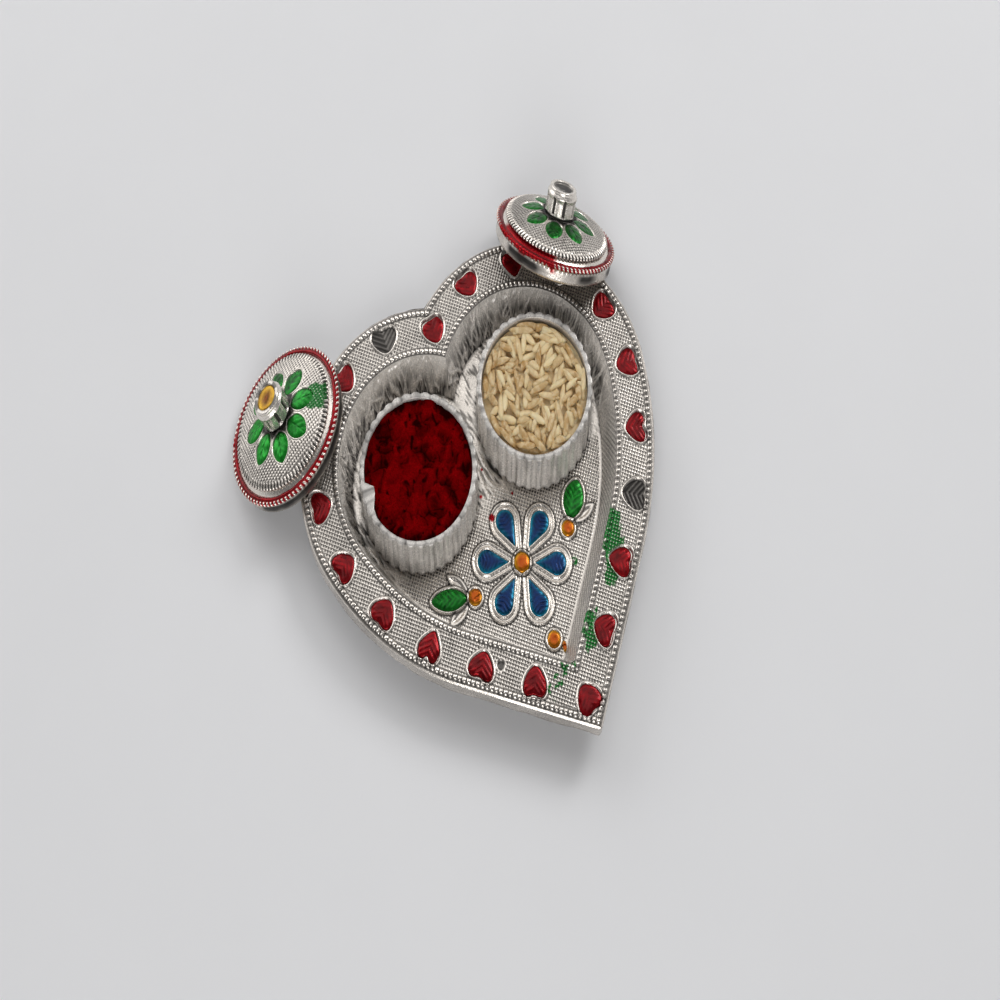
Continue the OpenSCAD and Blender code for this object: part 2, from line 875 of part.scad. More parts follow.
module rice_lid_knob() {
  rice_lean() lid_knob();
}

module rice_lid_knob_rivet() {
  rice_lean() lid_knob_rivet();
}

heart_tray();
kumkum_cup();
rice_cup();
kumkum_cup_rivet();
rice_cup_rivet();
kumkum_powder();
rice_grains();
rim_heart_enamel();
petal_enamel();
flower_centre_enamel();
bud_enamel();
leaf_enamel();
kumkum_lid();
kumkum_lid_band_enamel();
kumkum_lid_petal_enamel();
kumkum_lid_knob();
kumkum_lid_knob_enamel();
kumkum_lid_knob_rivet();
rice_lid();
rice_lid_band_enamel();
rice_lid_petal_enamel();
rice_lid_knob();
rice_lid_knob_rivet();
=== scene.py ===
import math

import bpy
import numpy as np
from mathutils import Matrix, Vector
from mathutils.geometry import delaunay_2d_cdt


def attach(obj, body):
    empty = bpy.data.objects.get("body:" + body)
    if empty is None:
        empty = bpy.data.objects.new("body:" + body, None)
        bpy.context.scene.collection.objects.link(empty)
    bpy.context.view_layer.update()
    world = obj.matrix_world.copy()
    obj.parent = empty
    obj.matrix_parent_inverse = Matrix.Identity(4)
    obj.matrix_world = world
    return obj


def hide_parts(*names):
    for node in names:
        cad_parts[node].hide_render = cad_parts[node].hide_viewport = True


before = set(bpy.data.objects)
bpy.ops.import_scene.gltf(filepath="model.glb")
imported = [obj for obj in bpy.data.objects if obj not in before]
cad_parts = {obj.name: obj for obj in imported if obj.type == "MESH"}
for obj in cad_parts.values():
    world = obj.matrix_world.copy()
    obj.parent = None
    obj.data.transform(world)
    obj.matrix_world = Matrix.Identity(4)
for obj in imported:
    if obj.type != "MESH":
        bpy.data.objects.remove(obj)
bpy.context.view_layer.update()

# Sizes are millimetres in the plate's frame and become metres when a mesh is made.
MM = 0.001
TAU = 2 * math.pi
FAR = 1e9

# Multipliers and mask of the repeatable noise
HASH_X, HASH_Y, HASH_SEED, HASH_MIX = 374761393, 668265263, 982451653, 1274126177
HASH_BITS = 0x7FFFFFFF

# Heart outline, as in the solid model
LOBE = np.array([15.5, 0.8])
LOBE_R = 33.6
SIDE_R = 66.0
SIDE_TURN = math.radians(14)
TIP_REACH = 65.5
TIP_ROUND = 1.0
SIDE = LOBE - (SIDE_R - LOBE_R) * np.array([math.cos(SIDE_TURN), -math.sin(SIDE_TURN)])
TO_SIDE = SIDE + np.array([0, TIP_REACH])
SIDE_DIR = math.atan2(TO_SIDE[1], TO_SIDE[0]) - math.asin(SIDE_R / np.hypot(*TO_SIDE))
SIDE_END = SIDE_DIR - math.pi / 2

# About how long the parts of half an outline are, which sets how many points they get, and half widths of
# squares that cover the tray and its basin
LOBE_SPAN = 70
SIDE_SPAN = 37
LINE_SPAN = 32
TIP_POINTS = 3
TRAY_SPAN = 70
BASIN_SPAN = 50

# Tray
PLATE_H = 10.0
FLANGE_W = 10.4
FLANGE_T = 1.2
LIP_H = 3.3
LIP_T = 1.1
BEVEL = 0.4
FLOOR_D = 13.6
FLOOR_Z = 1.5
WALL_T = 1.3
WALL_ROWS = 46
WALL_STEP = 0.16
UNDERSIDE_STEP = 0.6
BORDER_W = 1.1
OUTER_BORDER = 1.25
INNER_BORDER = 9.55
BEAD_PITCH = 1.2
DIMPLE = (-16.4, -42.8)

# Brush strokes on the basin's wall, which stay bright through its painted shade: lean, width, seed and
# strength
STROKES = ((1.0, 0.9, 32, 1.0), (-0.6, 1.2, 33, 0.85), (0.3, 0.7, 36, 0.6))

# Rim marks. Nothing of one lies farther than its reach from its middle.
MARKS = 20
MARK_NUMBERS = range(1 - MARKS // 2, MARKS // 2 + 1)
MARK_W = 6.8
MARK_L = 5.6
MARK_INSET = 4.9
MARK_DEPTH = 0.6
MARK_REACH = 7
BARE_MARKS = (-1, 7)

# Stray green on the flange: from, to, half width, and whether it is only specks
SMEARS = (
    ((22.8, -32.4), (21.2, -36.8), 2.6, False),
    ((20.6, -36.6), (17.0, -42.2), 1.7, False),
    ((8.4, -46.9), (6.0, -49.8), 2.0, False),
    ((-0.6, -50.8), (-7.0, -53.4), 1.6, True),
)

# Stray paint on the basin's floor: middle and radius
RED_SPECKS = (((-2.7, -13.2), 1.0), ((-3.2, -8.0), 0.5), ((4.6, -11.4), 0.4), ((-0.3, -3.2), 0.4))
GREEN_SPECK = ((12.5, -31.5), 1.2)

# Flower, with turns in degrees
FLOWER = np.array([0.0, -25.0])
PETALS = 6
PETAL_ROOT = 3.6
PETAL_REACH = 11.8
PETAL_W = 4.8
CENTRE_R = 2.1
BUD_R = 1.7
BUDS = np.array([[-14.24, -25.0], [14.24, -25.0], [0.0, -42.2]])
LEAF_ROOT = 1.9
LEAF_TURNS = (156, 46)
LEAF_SIZES = ((10.0, 4.4), (8.6, 5.4))
BLADE_ROOT = 2.3
BLADE_TURNS = ((-34, 36), (-40,))
BLADE_SIZE = (6.4, 2.4)
DAB = np.array([1.8, -44.7])
DAB_SIZE = (2.4, 1.1)

# Cups, with the holes and pockets of their rivets, and the angles from which to which the burr on a rim
# grows and fades. The larger angle of the fading end comes first.
CUP_X = 17.8
CUP_R = 15.8
BORE_R = 14.4
RIM_Z = 12.6
BORE_Z = 2.7
FLUTES = 36
FLUTE_COLS = 14
FLUTE_R = 1.2
FLUTE_OUT = 0.85
FLUTE_DEPTH = 1.25
RIVET_HOLE_R = 1.25
POCKET_R = 2.55
POCKET_DEPTH = 0.75
BURR_START = (2.84, 2.95)
BURR_END = (3.40, 2.98)

# Powder and rice
POWDER_STEP = 0.17
POWDER_RING = 520
POWDER_LOW = 9.0
BED_POINTS = 64
GRAIN_L = 6.8
GRAIN_R = 0.82
GRAIN_TRIES = 2200
GRAIN_SAMPLES = 23
END_SAMPLES = 7
WHOLE_SHARE = 0.5
FLATNESS = 0.66

# Lids, in their own frame: the skirt stands on z = 0
SKIRT_R = 16.5
SKIRT_BORE = 16.0
BEAD_Z = 3.0
BEAD_R = 0.5
ROPE_TWISTS = 88
BAND_R = 16.25
BAND_IN = 15.35
BAND_MID = 15.8
BAND_COLS = 416
SHELF_Z = 3.2
DISC_R = 14.5
DISC_Z = 4.7
MILL_TEETH = 90
DOME_Z = 7.1
DOME_CURVE = 1.5
DOME_T = 1.1
SEAT_R = 4.2
LID_COLS = 832
LID_PETALS = 8
LID_PETAL_ROOT = 4.1
LID_PETAL_L = 6.6
LID_PETAL_W = 4.8
LID_TURNS = {"kumkum_lid": math.radians(22.5), "rice_lid": math.radians(6)}

# Knobs, with heights from the top of the dome
KNOB_R = 4.2
KNOB_H = 5.7
KNOB_END_R = 3.7
KNOB_SLOTS = 8
SLOT_COLS = 30
SLOT_HALF = 0.5
SLOT_LOW = 0.78
SLOT_TOP = 3.75
DISH_R = 2.66

# Pitch of the woven texture stamped in the metal, and the spacing of points: of those that carry it, of
# those on coarser ground and of those on outlines
WEAVE = 0.72
FINE = WEAVE / 4
COARSE = 1.5
OUTLINE_STEP = 0.2

rng = np.random.default_rng(11)


def turned(a):
    """Unit vectors at the angles a."""
    return np.stack([np.cos(a), np.sin(a)], -1)


def round_angles(n):
    """The n angles of a full turn."""
    return np.arange(n) * TAU / n


def smooth(lo, hi, x):
    """Soft step from 0 at lo to 1 at hi."""
    t = np.clip((x - lo) / (hi - lo), 0, 1)
    return t * t * (3 - 2 * t)


def hump(x, mid, half):
    """Round hump of height 1 at mid that ends at half on both sides."""
    return np.sqrt(np.clip(1 - ((x - mid) / half) ** 2, 0, 1))


def apart(x, y, spot):
    """Distance from a spot."""
    return np.hypot(x - spot[0], y - spot[1])


def from_cup(x, y):
    """Distance from the axis of the nearer cup."""
    return np.hypot(np.abs(x) - CUP_X, y)


def hashed(ix, iy, seed):
    """Repeatable values from 0 to 1 for whole-numbered cells."""
    n = (ix * HASH_X + iy * HASH_Y + seed * HASH_SEED) & HASH_BITS
    n = ((n ^ (n >> 13)) * HASH_MIX) & HASH_BITS
    return ((n ^ (n >> 16)) & 0xFFFF) / 65535.0


def noise(x, y, size, seed):
    """Smooth noise from 0 to 1 with spots of the given size."""
    gx, gy = np.asarray(x) / size, np.asarray(y) / size
    ix, iy = np.floor(gx).astype(np.int64), np.floor(gy).astype(np.int64)
    fx, fy = gx - ix, gy - iy
    fx, fy = fx * fx * (3 - 2 * fx), fy * fy * (3 - 2 * fy)
    low = hashed(ix, iy, seed) * (1 - fx) + hashed(ix + 1, iy, seed) * fx
    high = hashed(ix, iy + 1, seed) * (1 - fx) + hashed(ix + 1, iy + 1, seed) * fx
    return low * (1 - fy) + high * fy


def ripple(x, y, size, seed):
    """Smooth noise about 0, half a unit either way."""
    return noise(x, y, size, seed) - 0.5


def cells(x, y, size, seed):
    """Distances to the two nearest scattered points, in cell sizes, and a value of the nearest one."""
    gx, gy = x / size, y / size
    ix, iy = np.floor(gx).astype(np.int64), np.floor(gy).astype(np.int64)
    near = np.full(gx.shape, FAR)
    second = near.copy()
    value = np.zeros(gx.shape)
    for ox in (-1, 0, 1):
        for oy in (-1, 0, 1):
            cx, cy = ix + ox, iy + oy
            d = np.hypot(cx + hashed(cx, cy, seed) - gx, cy + hashed(cx, cy, seed + 1) - gy)
            closer = d < near
            second = np.where(closer, near, np.minimum(second, d))
            value = np.where(closer, hashed(cx, cy, seed + 2), value)
            near = np.where(closer, d, near)
    return near, second, value


def weave(x, y):
    """Woven stamp at 45 degrees to the axes: height of its pillows and depth of the dots between them."""
    u, v = (x + y) / math.sqrt(2), (y - x) / math.sqrt(2)
    across, up = np.abs(np.sin(math.pi * u / WEAVE)), np.abs(np.sin(math.pi * v / WEAVE))
    depth = smooth(1.05, 0.5, np.maximum(across, up))
    return np.sqrt(across * up), depth * (0.78 + 0.22 * noise(x, y, 1.1, 3))


def tip_at(d):
    """Where the straight sides meet on the heart's axis, at distance d inside the edge."""
    return -TIP_REACH + d / math.cos(SIDE_DIR)


def notch_at(d):
    """Angle on a lobe at which it meets the heart's axis, at distance d inside the edge."""
    return math.acos(-LOBE[0] / (LOBE_R - d))


def stretches(d):
    """Lengths of the lobe's and the side's arc at distance d inside the edge, and where the side's ends."""
    lobe_l = (LOBE_R - d) * (notch_at(d) + SIDE_TURN)
    side_l = (SIDE_R - d) * -(SIDE_TURN + SIDE_END)
    return lobe_l, side_l, SIDE + (SIDE_R - d) * turned(SIDE_END)


def mirrored(half):
    """Closed outline from its right half, which starts and ends on the axis."""
    return np.vstack([half, (half * [-1, 1])[-2:0:-1]])


def heart(d, step):
    """Closed outline at distance d inside the edge. Outlines of one step have as many points each."""
    lobe_n, side_n, line_n = (round(span / step) for span in (LOBE_SPAN, SIDE_SPAN, LINE_SPAN))
    lobe = arc(LOBE, LOBE_R - d, notch_at(d), -SIDE_TURN, lobe_n + 1)
    side = arc(SIDE, SIDE_R - d, -SIDE_TURN, SIDE_END, side_n + 1)[1:]
    tip = arc((0, tip_at(d + TIP_ROUND)), TIP_ROUND, SIDE_END, -math.pi / 2, TIP_POINTS + 1)
    line = side[-1] + (tip[0] - side[-1]) * np.linspace(0, 1, line_n + 1)[1:-1, None]
    return mirrored(np.vstack([lobe, side, line, tip]))


def inset(x, y):
    """Distance inside the heart's edge, and the nearest part of the outline: 0 lobe, 1 side, 2 line."""
    p = np.stack([np.abs(x), y], -1)
    lobe, side = p - LOBE, p - SIDE
    on_lobe = np.arctan2(lobe[..., 1], lobe[..., 0]) >= -SIDE_TURN
    on_side = np.arctan2(side[..., 1], side[..., 0]) >= SIDE_END
    inward = np.array([-math.sin(SIDE_DIR), math.cos(SIDE_DIR)])
    d_line = (p - [0, -TIP_REACH]) @ inward
    d = np.where(on_lobe, LOBE_R - np.hypot(*np.moveaxis(lobe, -1, 0)),
                 np.where(on_side, SIDE_R - np.hypot(*np.moveaxis(side, -1, 0)), d_line))
    return d, np.where(on_lobe, 0, np.where(on_side, 1, 2))


def along(x, y, d):
    """Length from the notch along the outline at distance d, on either half."""
    p = np.stack([np.abs(x), y], -1)
    part = inset(x, y)[1]
    a = np.arctan2(p[..., 1] - LOBE[1], p[..., 0] - LOBE[0])
    b = np.arctan2(p[..., 1] - SIDE[1], p[..., 0] - SIDE[0])
    lobe_l, side_l, foot = stretches(d)
    s_lobe = (LOBE_R - d) * (notch_at(d) - a)
    s_side = lobe_l + (SIDE_R - d) * (-SIDE_TURN - b)
    s_line = lobe_l + side_l + (foot - p) @ turned(SIDE_DIR)
    return np.where(part == 0, s_lobe, np.where(part == 1, s_side, s_line))


def mark_spot(i):
    """Middle of rim mark i and the inward direction there. Marks below zero lie on the left."""
    d = MARK_INSET
    lobe_l, side_l, foot = stretches(d)
    whole = lobe_l + side_l + np.hypot(*(foot - [0, tip_at(d)]))
    s = whole * abs(i) / (MARKS / 2)
    if s < lobe_l:
        a = notch_at(d) - s / (LOBE_R - d)
        spot, inward = LOBE + (LOBE_R - d) * turned(a), a + math.pi
    elif s < lobe_l + side_l:
        a = -SIDE_TURN - (s - lobe_l) / (SIDE_R - d)
        spot, inward = SIDE + (SIDE_R - d) * turned(a), a + math.pi
    else:
        spot, inward = foot - (s - lobe_l - side_l) * turned(SIDE_DIR), SIDE_DIR + math.pi / 2
    if i == 0:
        inward = -math.pi / 2
    if abs(i) == MARKS // 2:
        inward = math.pi / 2
    if i < 0:
        spot, inward = spot * [-1, 1], math.pi - inward
    return spot, inward


def arc(c, r, a0, a1, n):
    """The n points of an arc from one angle to another."""
    return np.asarray(c) + r * turned(np.linspace(a0, a1, n))


def circle(r, n):
    """The n points of a circle round the origin."""
    return arc((0, 0), r, 0, TAU, n + 1)[:-1]


def small_heart():
    """Outline of a rim mark, its tip along +Y and its middle at the origin."""
    r = MARK_W / 4
    t = MARK_L - r
    start = 2 * math.atan2(t, r)
    half = np.vstack([arc((r, 0), r, -math.pi, math.pi - start, 16), [[0, t]]])
    return mirrored(half) - [0, MARK_L / 2 - r]


def petal(root, tip, w):
    """Outline of a petal along +Y, with a pointed root and a round tip."""
    c = tip - w / 2
    half = math.asin(w / 2 / (c - root))
    return np.vstack([[[0, root]], arc((0, c), w / 2, -half, math.pi + half, 24)])


def leaf(length, width):
    """Outline of a leaf along +X from its root at the origin."""
    r = (length ** 2 + width ** 2) / (4 * width)
    a = math.asin(length / 2 / r)
    low = arc((length / 2, width / 2 - r), r, math.pi / 2 - a, math.pi / 2 + a, 16)
    return np.vstack([low, (low * [1, -1])[-2:0:-1]])


def spun(points, a):
    """Points turned about the origin."""
    c, s = math.cos(a), math.sin(a)
    return np.asarray(points) @ np.array([[c, s], [-s, c]])


def dense(outline):
    """The outline with points about a step apart."""
    out = []
    for p, q in zip(outline, np.roll(outline, -1, 0)):
        n = max(1, round(np.hypot(*(q - p)) / OUTLINE_STEP))
        out.append(p + (q - p) * (np.arange(n) / n)[:, None])
    return np.vstack(out)


def worn_down(outline, rounds):
    """The outline with its corners rubbed round."""
    for _ in range(rounds):
        outline = 0.25 * np.roll(outline, 1, 0) + 0.5 * outline + 0.25 * np.roll(outline, -1, 0)
    return outline


def edge_distance(x, y, outline):
    """Distance from a closed outline, below zero inside it."""
    best = np.full(x.shape, FAR)
    inside = np.zeros(x.shape, bool)
    for p, q in zip(outline, np.roll(outline, -1, 0)):
        e = q - p
        wx, wy = x - p[0], y - p[1]
        t = np.clip((wx * e[0] + wy * e[1]) / (e @ e), 0, 1)
        best = np.minimum(best, np.hypot(wx - t * e[0], wy - t * e[1]))
        if p[1] != q[1]:
            crosses = (p[1] > y) != (q[1] > y)
            inside ^= crosses & (wx < e[0] * (y - p[1]) / e[1])
    return np.where(inside, -best, best)


def nearest(x, y, outlines):
    """Distance from the nearest of several closed outlines, below zero inside it."""
    return np.min([edge_distance(x, y, outline) for outline in outlines], axis=0)


def lattice(step, reach):
    """Square points over a square of the given half width, laid at 45 degrees to the axes."""
    n = round(reach * math.sqrt(2) / step)
    u, v = np.meshgrid(np.arange(-n, n + 1) * step, np.arange(-n, n + 1) * step)
    x, y = (u - v).ravel() / math.sqrt(2), (u + v).ravel() / math.sqrt(2)
    keep = (np.abs(x) <= reach) & (np.abs(y) <= reach)
    return np.stack([x[keep], y[keep]], -1)


def joined(ring, points):
    """Triangles over a closed ring and the points inside it, facing up."""
    made = delaunay_2d_cdt([Vector(p) for p in np.vstack([ring, points])], [],
                           [list(range(len(ring)))], 1, 1e-6, False)
    xy = np.array([tuple(v) for v in made[0]])
    faces = np.array(made[2])
    a, b, c = xy[faces[:, 0]], xy[faces[:, 1]], xy[faces[:, 2]]
    flip = np.cross(b - a, c - a) < 0
    faces[flip] = faces[flip][:, ::-1]
    return xy, faces


def within(xy, faces, lo, hi):
    """The faces that lie between two distances inside the heart's edge, and the points that they use."""
    d = inset(*xy[faces].mean(1).T)[0]
    faces = faces[(d > lo) & (d < hi)]
    used = np.unique(faces)
    renumber = np.zeros(len(xy), int)
    renumber[used] = np.arange(len(used))
    return xy[used], renumber[faces]


def quads(rows, cols, flip=False):
    """Faces of a grid whose columns close on themselves."""
    i = np.arange(rows - 1)[:, None]
    j = np.arange(cols)[None, :]
    k = (j + 1) % cols
    faces = np.stack([i * cols + j, i * cols + k, (i + 1) * cols + k, (i + 1) * cols + j], -1)
    faces = faces.reshape(-1, 4)
    return faces[:, ::-1] if flip else faces


def fan(ring, tip):
    """Triangles from the numbered points of a ring to the point numbered tip."""
    return np.stack([ring, np.roll(ring, -1), np.full(len(ring), tip)], -1)


def at_height(outline, z):
    """The points of a flat outline at height z."""
    return np.column_stack([outline, np.full(len(outline), z)])


def grid_points(x, y, z):
    """Points of a grid in one list, row after row."""
    return np.stack(np.broadcast_arrays(x, y, z), -1).reshape(-1, 3)


def gathered(parts):
    """Several meshes as one: its points, and its four-sided and three-sided faces."""
    verts, fours, threes, at = [], [], [], 0
    for v, (q, f), *_ in parts:
        verts.append(v)
        fours.append(q + at)
        threes.append(f + at)
        at += len(v)
    return np.vstack(verts), [np.vstack(fours), np.vstack(threes)]


def piece(name, node, slot, material, verts, faces, body="plate", faceted=False, **values):
    """One piece that stands for a CAD node, from points in millimetres that carry named values."""
    faces = faces if isinstance(faces, list) else [faces]
    loops = np.concatenate([f.ravel() for f in faces]).astype(np.int32)
    sizes = np.concatenate([np.full(len(f), f.shape[1]) for f in faces])
    starts = np.concatenate([[0], np.cumsum(sizes)[:-1]]).astype(np.int32)
    mesh = bpy.data.meshes.new(name)
    mesh.vertices.add(len(verts))
    mesh.vertices.foreach_set("co", (np.asarray(verts) * MM).astype(np.float32).ravel())
    mesh.loops.add(len(loops))
    mesh.loops.foreach_set("vertex_index", loops)
    mesh.polygons.add(len(starts))
    mesh.polygons.foreach_set("loop_start", starts)
    mesh.update(calc_edges=True)
    if not faceted:
        mesh.shade_smooth()
    for key, value in values.items():
        layer = mesh.attributes.new(key, "FLOAT", "POINT")
        layer.data.foreach_set("value", np.clip(value, 0, 1).astype(np.float32).ravel())
    mesh.materials.append(material)
    obj = bpy.data.objects.new(name, mesh)
    bpy.context.scene.collection.objects.link(obj)
    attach(obj, body)
    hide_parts(node)


class Shader:
    """Builds the nodes of one material around a Principled shader, or those of a world."""

    def __init__(self, name, world=None):
        self.material = world or bpy.data.materials.new(name)
        self.material.use_nodes = True
        self.tree = self.material.node_tree
        self.surface = self.tree.nodes["Background" if world else "Principled BSDF"]

    def put(self, value, socket):
        """Gives a socket a value, or a link from another socket."""
        if isinstance(value, bpy.types.NodeSocket):
            self.tree.links.new(value, socket)
        else:
            socket.default_value = value

    def add(self, kind, settings=None, **inputs):
        """A new node with its settings and inputs."""
        node = self.tree.nodes.new("ShaderNode" + kind)
        for key, value in (settings or {}).items():
            setattr(node, key, value)
        for key, value in inputs.items():
            self.put(value, node.inputs[key])
        return node

    def place(self):
        """Place on the object, in metres."""
        return self.add("TexCoord").outputs["Object"]

    def noise(self, size, detail=3.0, rough=0.55):
        """Noise from 0 to 1 with spots of the given size in millimetres."""
        scale = 1 / (size * MM)
        node = self.add("TexNoise", Vector=self.place(), Scale=scale, Detail=detail, Roughness=rough)
        return node.outputs["Fac"]

    def value(self, name):
        """A named value of the points."""
        return self.add("Attribute", {"attribute_name": name}).outputs["Fac"]

    def span(self, value, lo, hi, to_lo=0.0, to_hi=1.0):
        """The value, stretched from one range to another and kept inside it."""
        node = self.add("MapRange", {"clamp": True})
        for socket, v in zip(node.inputs, (value, lo, hi, to_lo, to_hi)):
            self.put(v, socket)
        return node.outputs["Result"]

    def seen(self):
        """1 for rays from the camera and from mirrors and glass, 0 for light that falls on surfaces."""
        path = self.add("LightPath").outputs
        mirrored_too = self.math("MAXIMUM", path["Is Glossy Ray"], path["Is Transmission Ray"])
        return self.math("MAXIMUM", path["Is Camera Ray"], mirrored_too)

    def math(self, kind, a, b):
        """Sum, product or the like of two values."""
        node = self.add("Math", {"operation": kind})
        self.put(a, node.inputs[0])
        self.put(b, node.inputs[1])
        return node.outputs[0]

    def mix(self, factor, a, b):
        """Colour a where the factor is 0 and b where it is 1."""
        node = self.add("Mix", {"data_type": "RGBA"})
        self.put(factor, node.inputs["Factor"])
        for socket, colour in ((node.inputs[6], a), (node.inputs[7], b)):
            self.put(colour if isinstance(colour, bpy.types.NodeSocket) else (*colour, 1), socket)
        return node.outputs[2]

    def bump(self, height, depth):
        """Raises the surface by height, of the given depth in millimetres."""
        node = self.add("Bump", Strength=1.0, Distance=depth * MM, Height=height)
        self.put(node.outputs["Normal"], self.surface.inputs["Normal"])

    def set(self, **inputs):
        """Gives the surface its inputs. A tuple is a colour."""
        for key, value in inputs.items():
            name = key.replace("_", " ")
            self.put((*value, 1) if isinstance(value, tuple) else value, self.surface.inputs[name])


RED_PAINT = (0.34, 0.002, 0.007)
GREEN_PAINT = (0.004, 0.13, 0.018)
# Colour of tarnish and of the shade and reflections painted on the metal
DIRT_AND_SHADE = (0.014, 0.013, 0.013)


def metal_material(name, bright, metallic):
    """Stamped white metal: bright where it is rubbed, darkened by tarnish and by painted shade and
    reflections, with stray enamel paint.
    """
    s = Shader(name)
    patch = s.noise(7.0)
    fine = s.noise(0.5, 2.0)
    grime, red, green = s.value("grime"), s.value("red"), s.value("green")
    clean = s.mix(s.span(patch, 0.3, 0.7), bright, tuple(0.80 * c for c in bright))
    # Tarnish and painted shade and reflections darken the clean metal
    colour = s.mix(s.math("MULTIPLY", grime, s.span(patch, 0.2, 0.8, 0.9, 1.0)), clean, DIRT_AND_SHADE)
    colour = s.mix(red, colour, RED_PAINT)
    colour = s.mix(green, colour, GREEN_PAINT)
    paint = s.math("MAXIMUM", red, green)
    rough = s.math("ADD", s.span(fine, 0.25, 0.75, 0.15, 0.32), s.math("MULTIPLY", grime, 0.2))
    s.set(Base_Color=colour, Metallic=s.span(paint, 0, 1, metallic, 0.8), Roughness=rough)
    s.bump(fine, 0.05)
    return s.material


def enamel_material(name, deep, light, glow):
    """Hand-laid translucent lacquer over metal: deep where thick, glowing at its edge, with streaks, and
    paler along ribs and where painted light falls.
    """
    s = Shader(name)
    streak = s.noise(1.3, 4.0)
    cloud = s.noise(3.5)
    edge, rib = s.value("edge"), s.value("rib")
    # Streaks and ribs pale the lacquer; on the lid leaves the rib value also carries painted light and shade
    pooled = s.math("ADD", s.span(streak, 0.3, 0.8, 0.0, 0.5), s.math("MULTIPLY", rib, 0.5))
    colour = s.mix(pooled, deep, light)
    colour = s.mix(s.math("MULTIPLY", edge, s.span(cloud, 0.3, 0.6)), colour, glow)
    s.set(Base_Color=colour, Metallic=0.7, Roughness=s.span(cloud, 0.3, 0.7, 0.22, 0.40),
          Coat_Weight=0.18, Coat_Roughness=0.08, Specular_IOR_Level=0.25)
    s.bump(streak, 0.05)
    return s.material


def kumkum_material():
    """Pressed crimson powder with painted shade in its crevices."""
    s = Shader("kumkum powder")
    grain = s.noise(0.35, 5.0, 0.7)
    cloud = s.noise(4.0)
    colour = s.mix(s.span(grain, 0.35, 0.7), (0.16, 0.0006, 0.001), (0.33, 0.001, 0.003))
    colour = s.mix(s.span(cloud, 0.35, 0.75, 0.0, 0.6), colour, (0.07, 0.0005, 0.001))
    # Painted shade in the crevices and along the cup's wall
    colour = s.mix(s.value("crevice"), colour, (0.02, 0.0003, 0.0005))
    s.set(Base_Color=colour, Roughness=s.span(grain, 0.3, 0.7, 0.75, 0.98), Specular_IOR_Level=0.0)
    s.bump(grain, 0.25)
    return s.material


def rice_material():
    """Raw rice: cream, each grain a little different, with chalky and glassy spots."""
    s = Shader("raw rice")
    own = s.add("NewGeometry").outputs["Random Per Island"]
    chalk = s.noise(1.2)
    fine = s.noise(0.3, 2.0)
    colour = s.mix(own, (0.50, 0.29, 0.09), (0.92, 0.74, 0.43))
    colour = s.mix(s.span(chalk, 0.42, 0.7, 0.0, 0.75), colour, (0.92, 0.77, 0.50))
    s.set(Base_Color=colour, Roughness=s.span(fine, 0.3, 0.7, 0.38, 0.55), Subsurface_Weight=0.3,
          Subsurface_Radius=[1.0, 0.8, 0.55], Subsurface_Scale=0.8 * MM)
    s.bump(fine, 0.03)
    return s.material


SILVER = metal_material("stamped white metal", (0.95, 0.88, 0.80), 0.92)
PLAIN = metal_material("plain white metal", (0.92, 0.86, 0.79), 0.75)
MATT = metal_material("matt white metal", (0.97, 0.92, 0.86), 0.28)
RED = enamel_material("red enamel", (0.09, 0.0006, 0.002), (0.38, 0.002, 0.007), (0.45, 0.006, 0.012))
BLUE = enamel_material("blue enamel", (0.001, 0.008, 0.045), (0.002, 0.035, 0.16), (0.02, 0.42, 0.62))
GREEN = enamel_material("green enamel", (0.001, 0.028, 0.004), (0.018, 0.42, 0.035), (0.015, 0.22, 0.025))
AMBER = enamel_material("amber enamel", (0.42, 0.06, 0.002), (0.66, 0.17, 0.004), (0.97, 0.58, 0.03))
TOPAZ = enamel_material("topaz enamel", (0.06, 0.012, 0.001), (0.42, 0.11, 0.004), (0.95, 0.58, 0.05))
KUMKUM = kumkum_material()
RICE = rice_material()


def mark_shape(i):
    """Outline of rim mark i in its own frame: a stamped heart whose notch and tip are more or less worn."""
    wear, breadth, lean = (hashed(i + 40, *key) for key in ((3, 7), (5, 8), (9, 9)))
    shape = worn_down(dense(small_heart()), round(30 + 110 * wear))
    shape = (shape - (shape.max(0) + shape.min(0)) / 2) * [MARK_W, MARK_L] / np.ptp(shape, axis=0)
    wide = 0.92 + 0.14 * breadth
    return spun(shape * [0.95 * wide, 1.02 / wide], 0.3 * (lean - 0.5))


def chevrons(local, rate):
    """Ribs of a rim mark that meet on its axis, from -1 to 1, at points in its own frame."""
    return np.sin((local[:, 1] + 0.8 * np.abs(local[:, 0])) * rate)


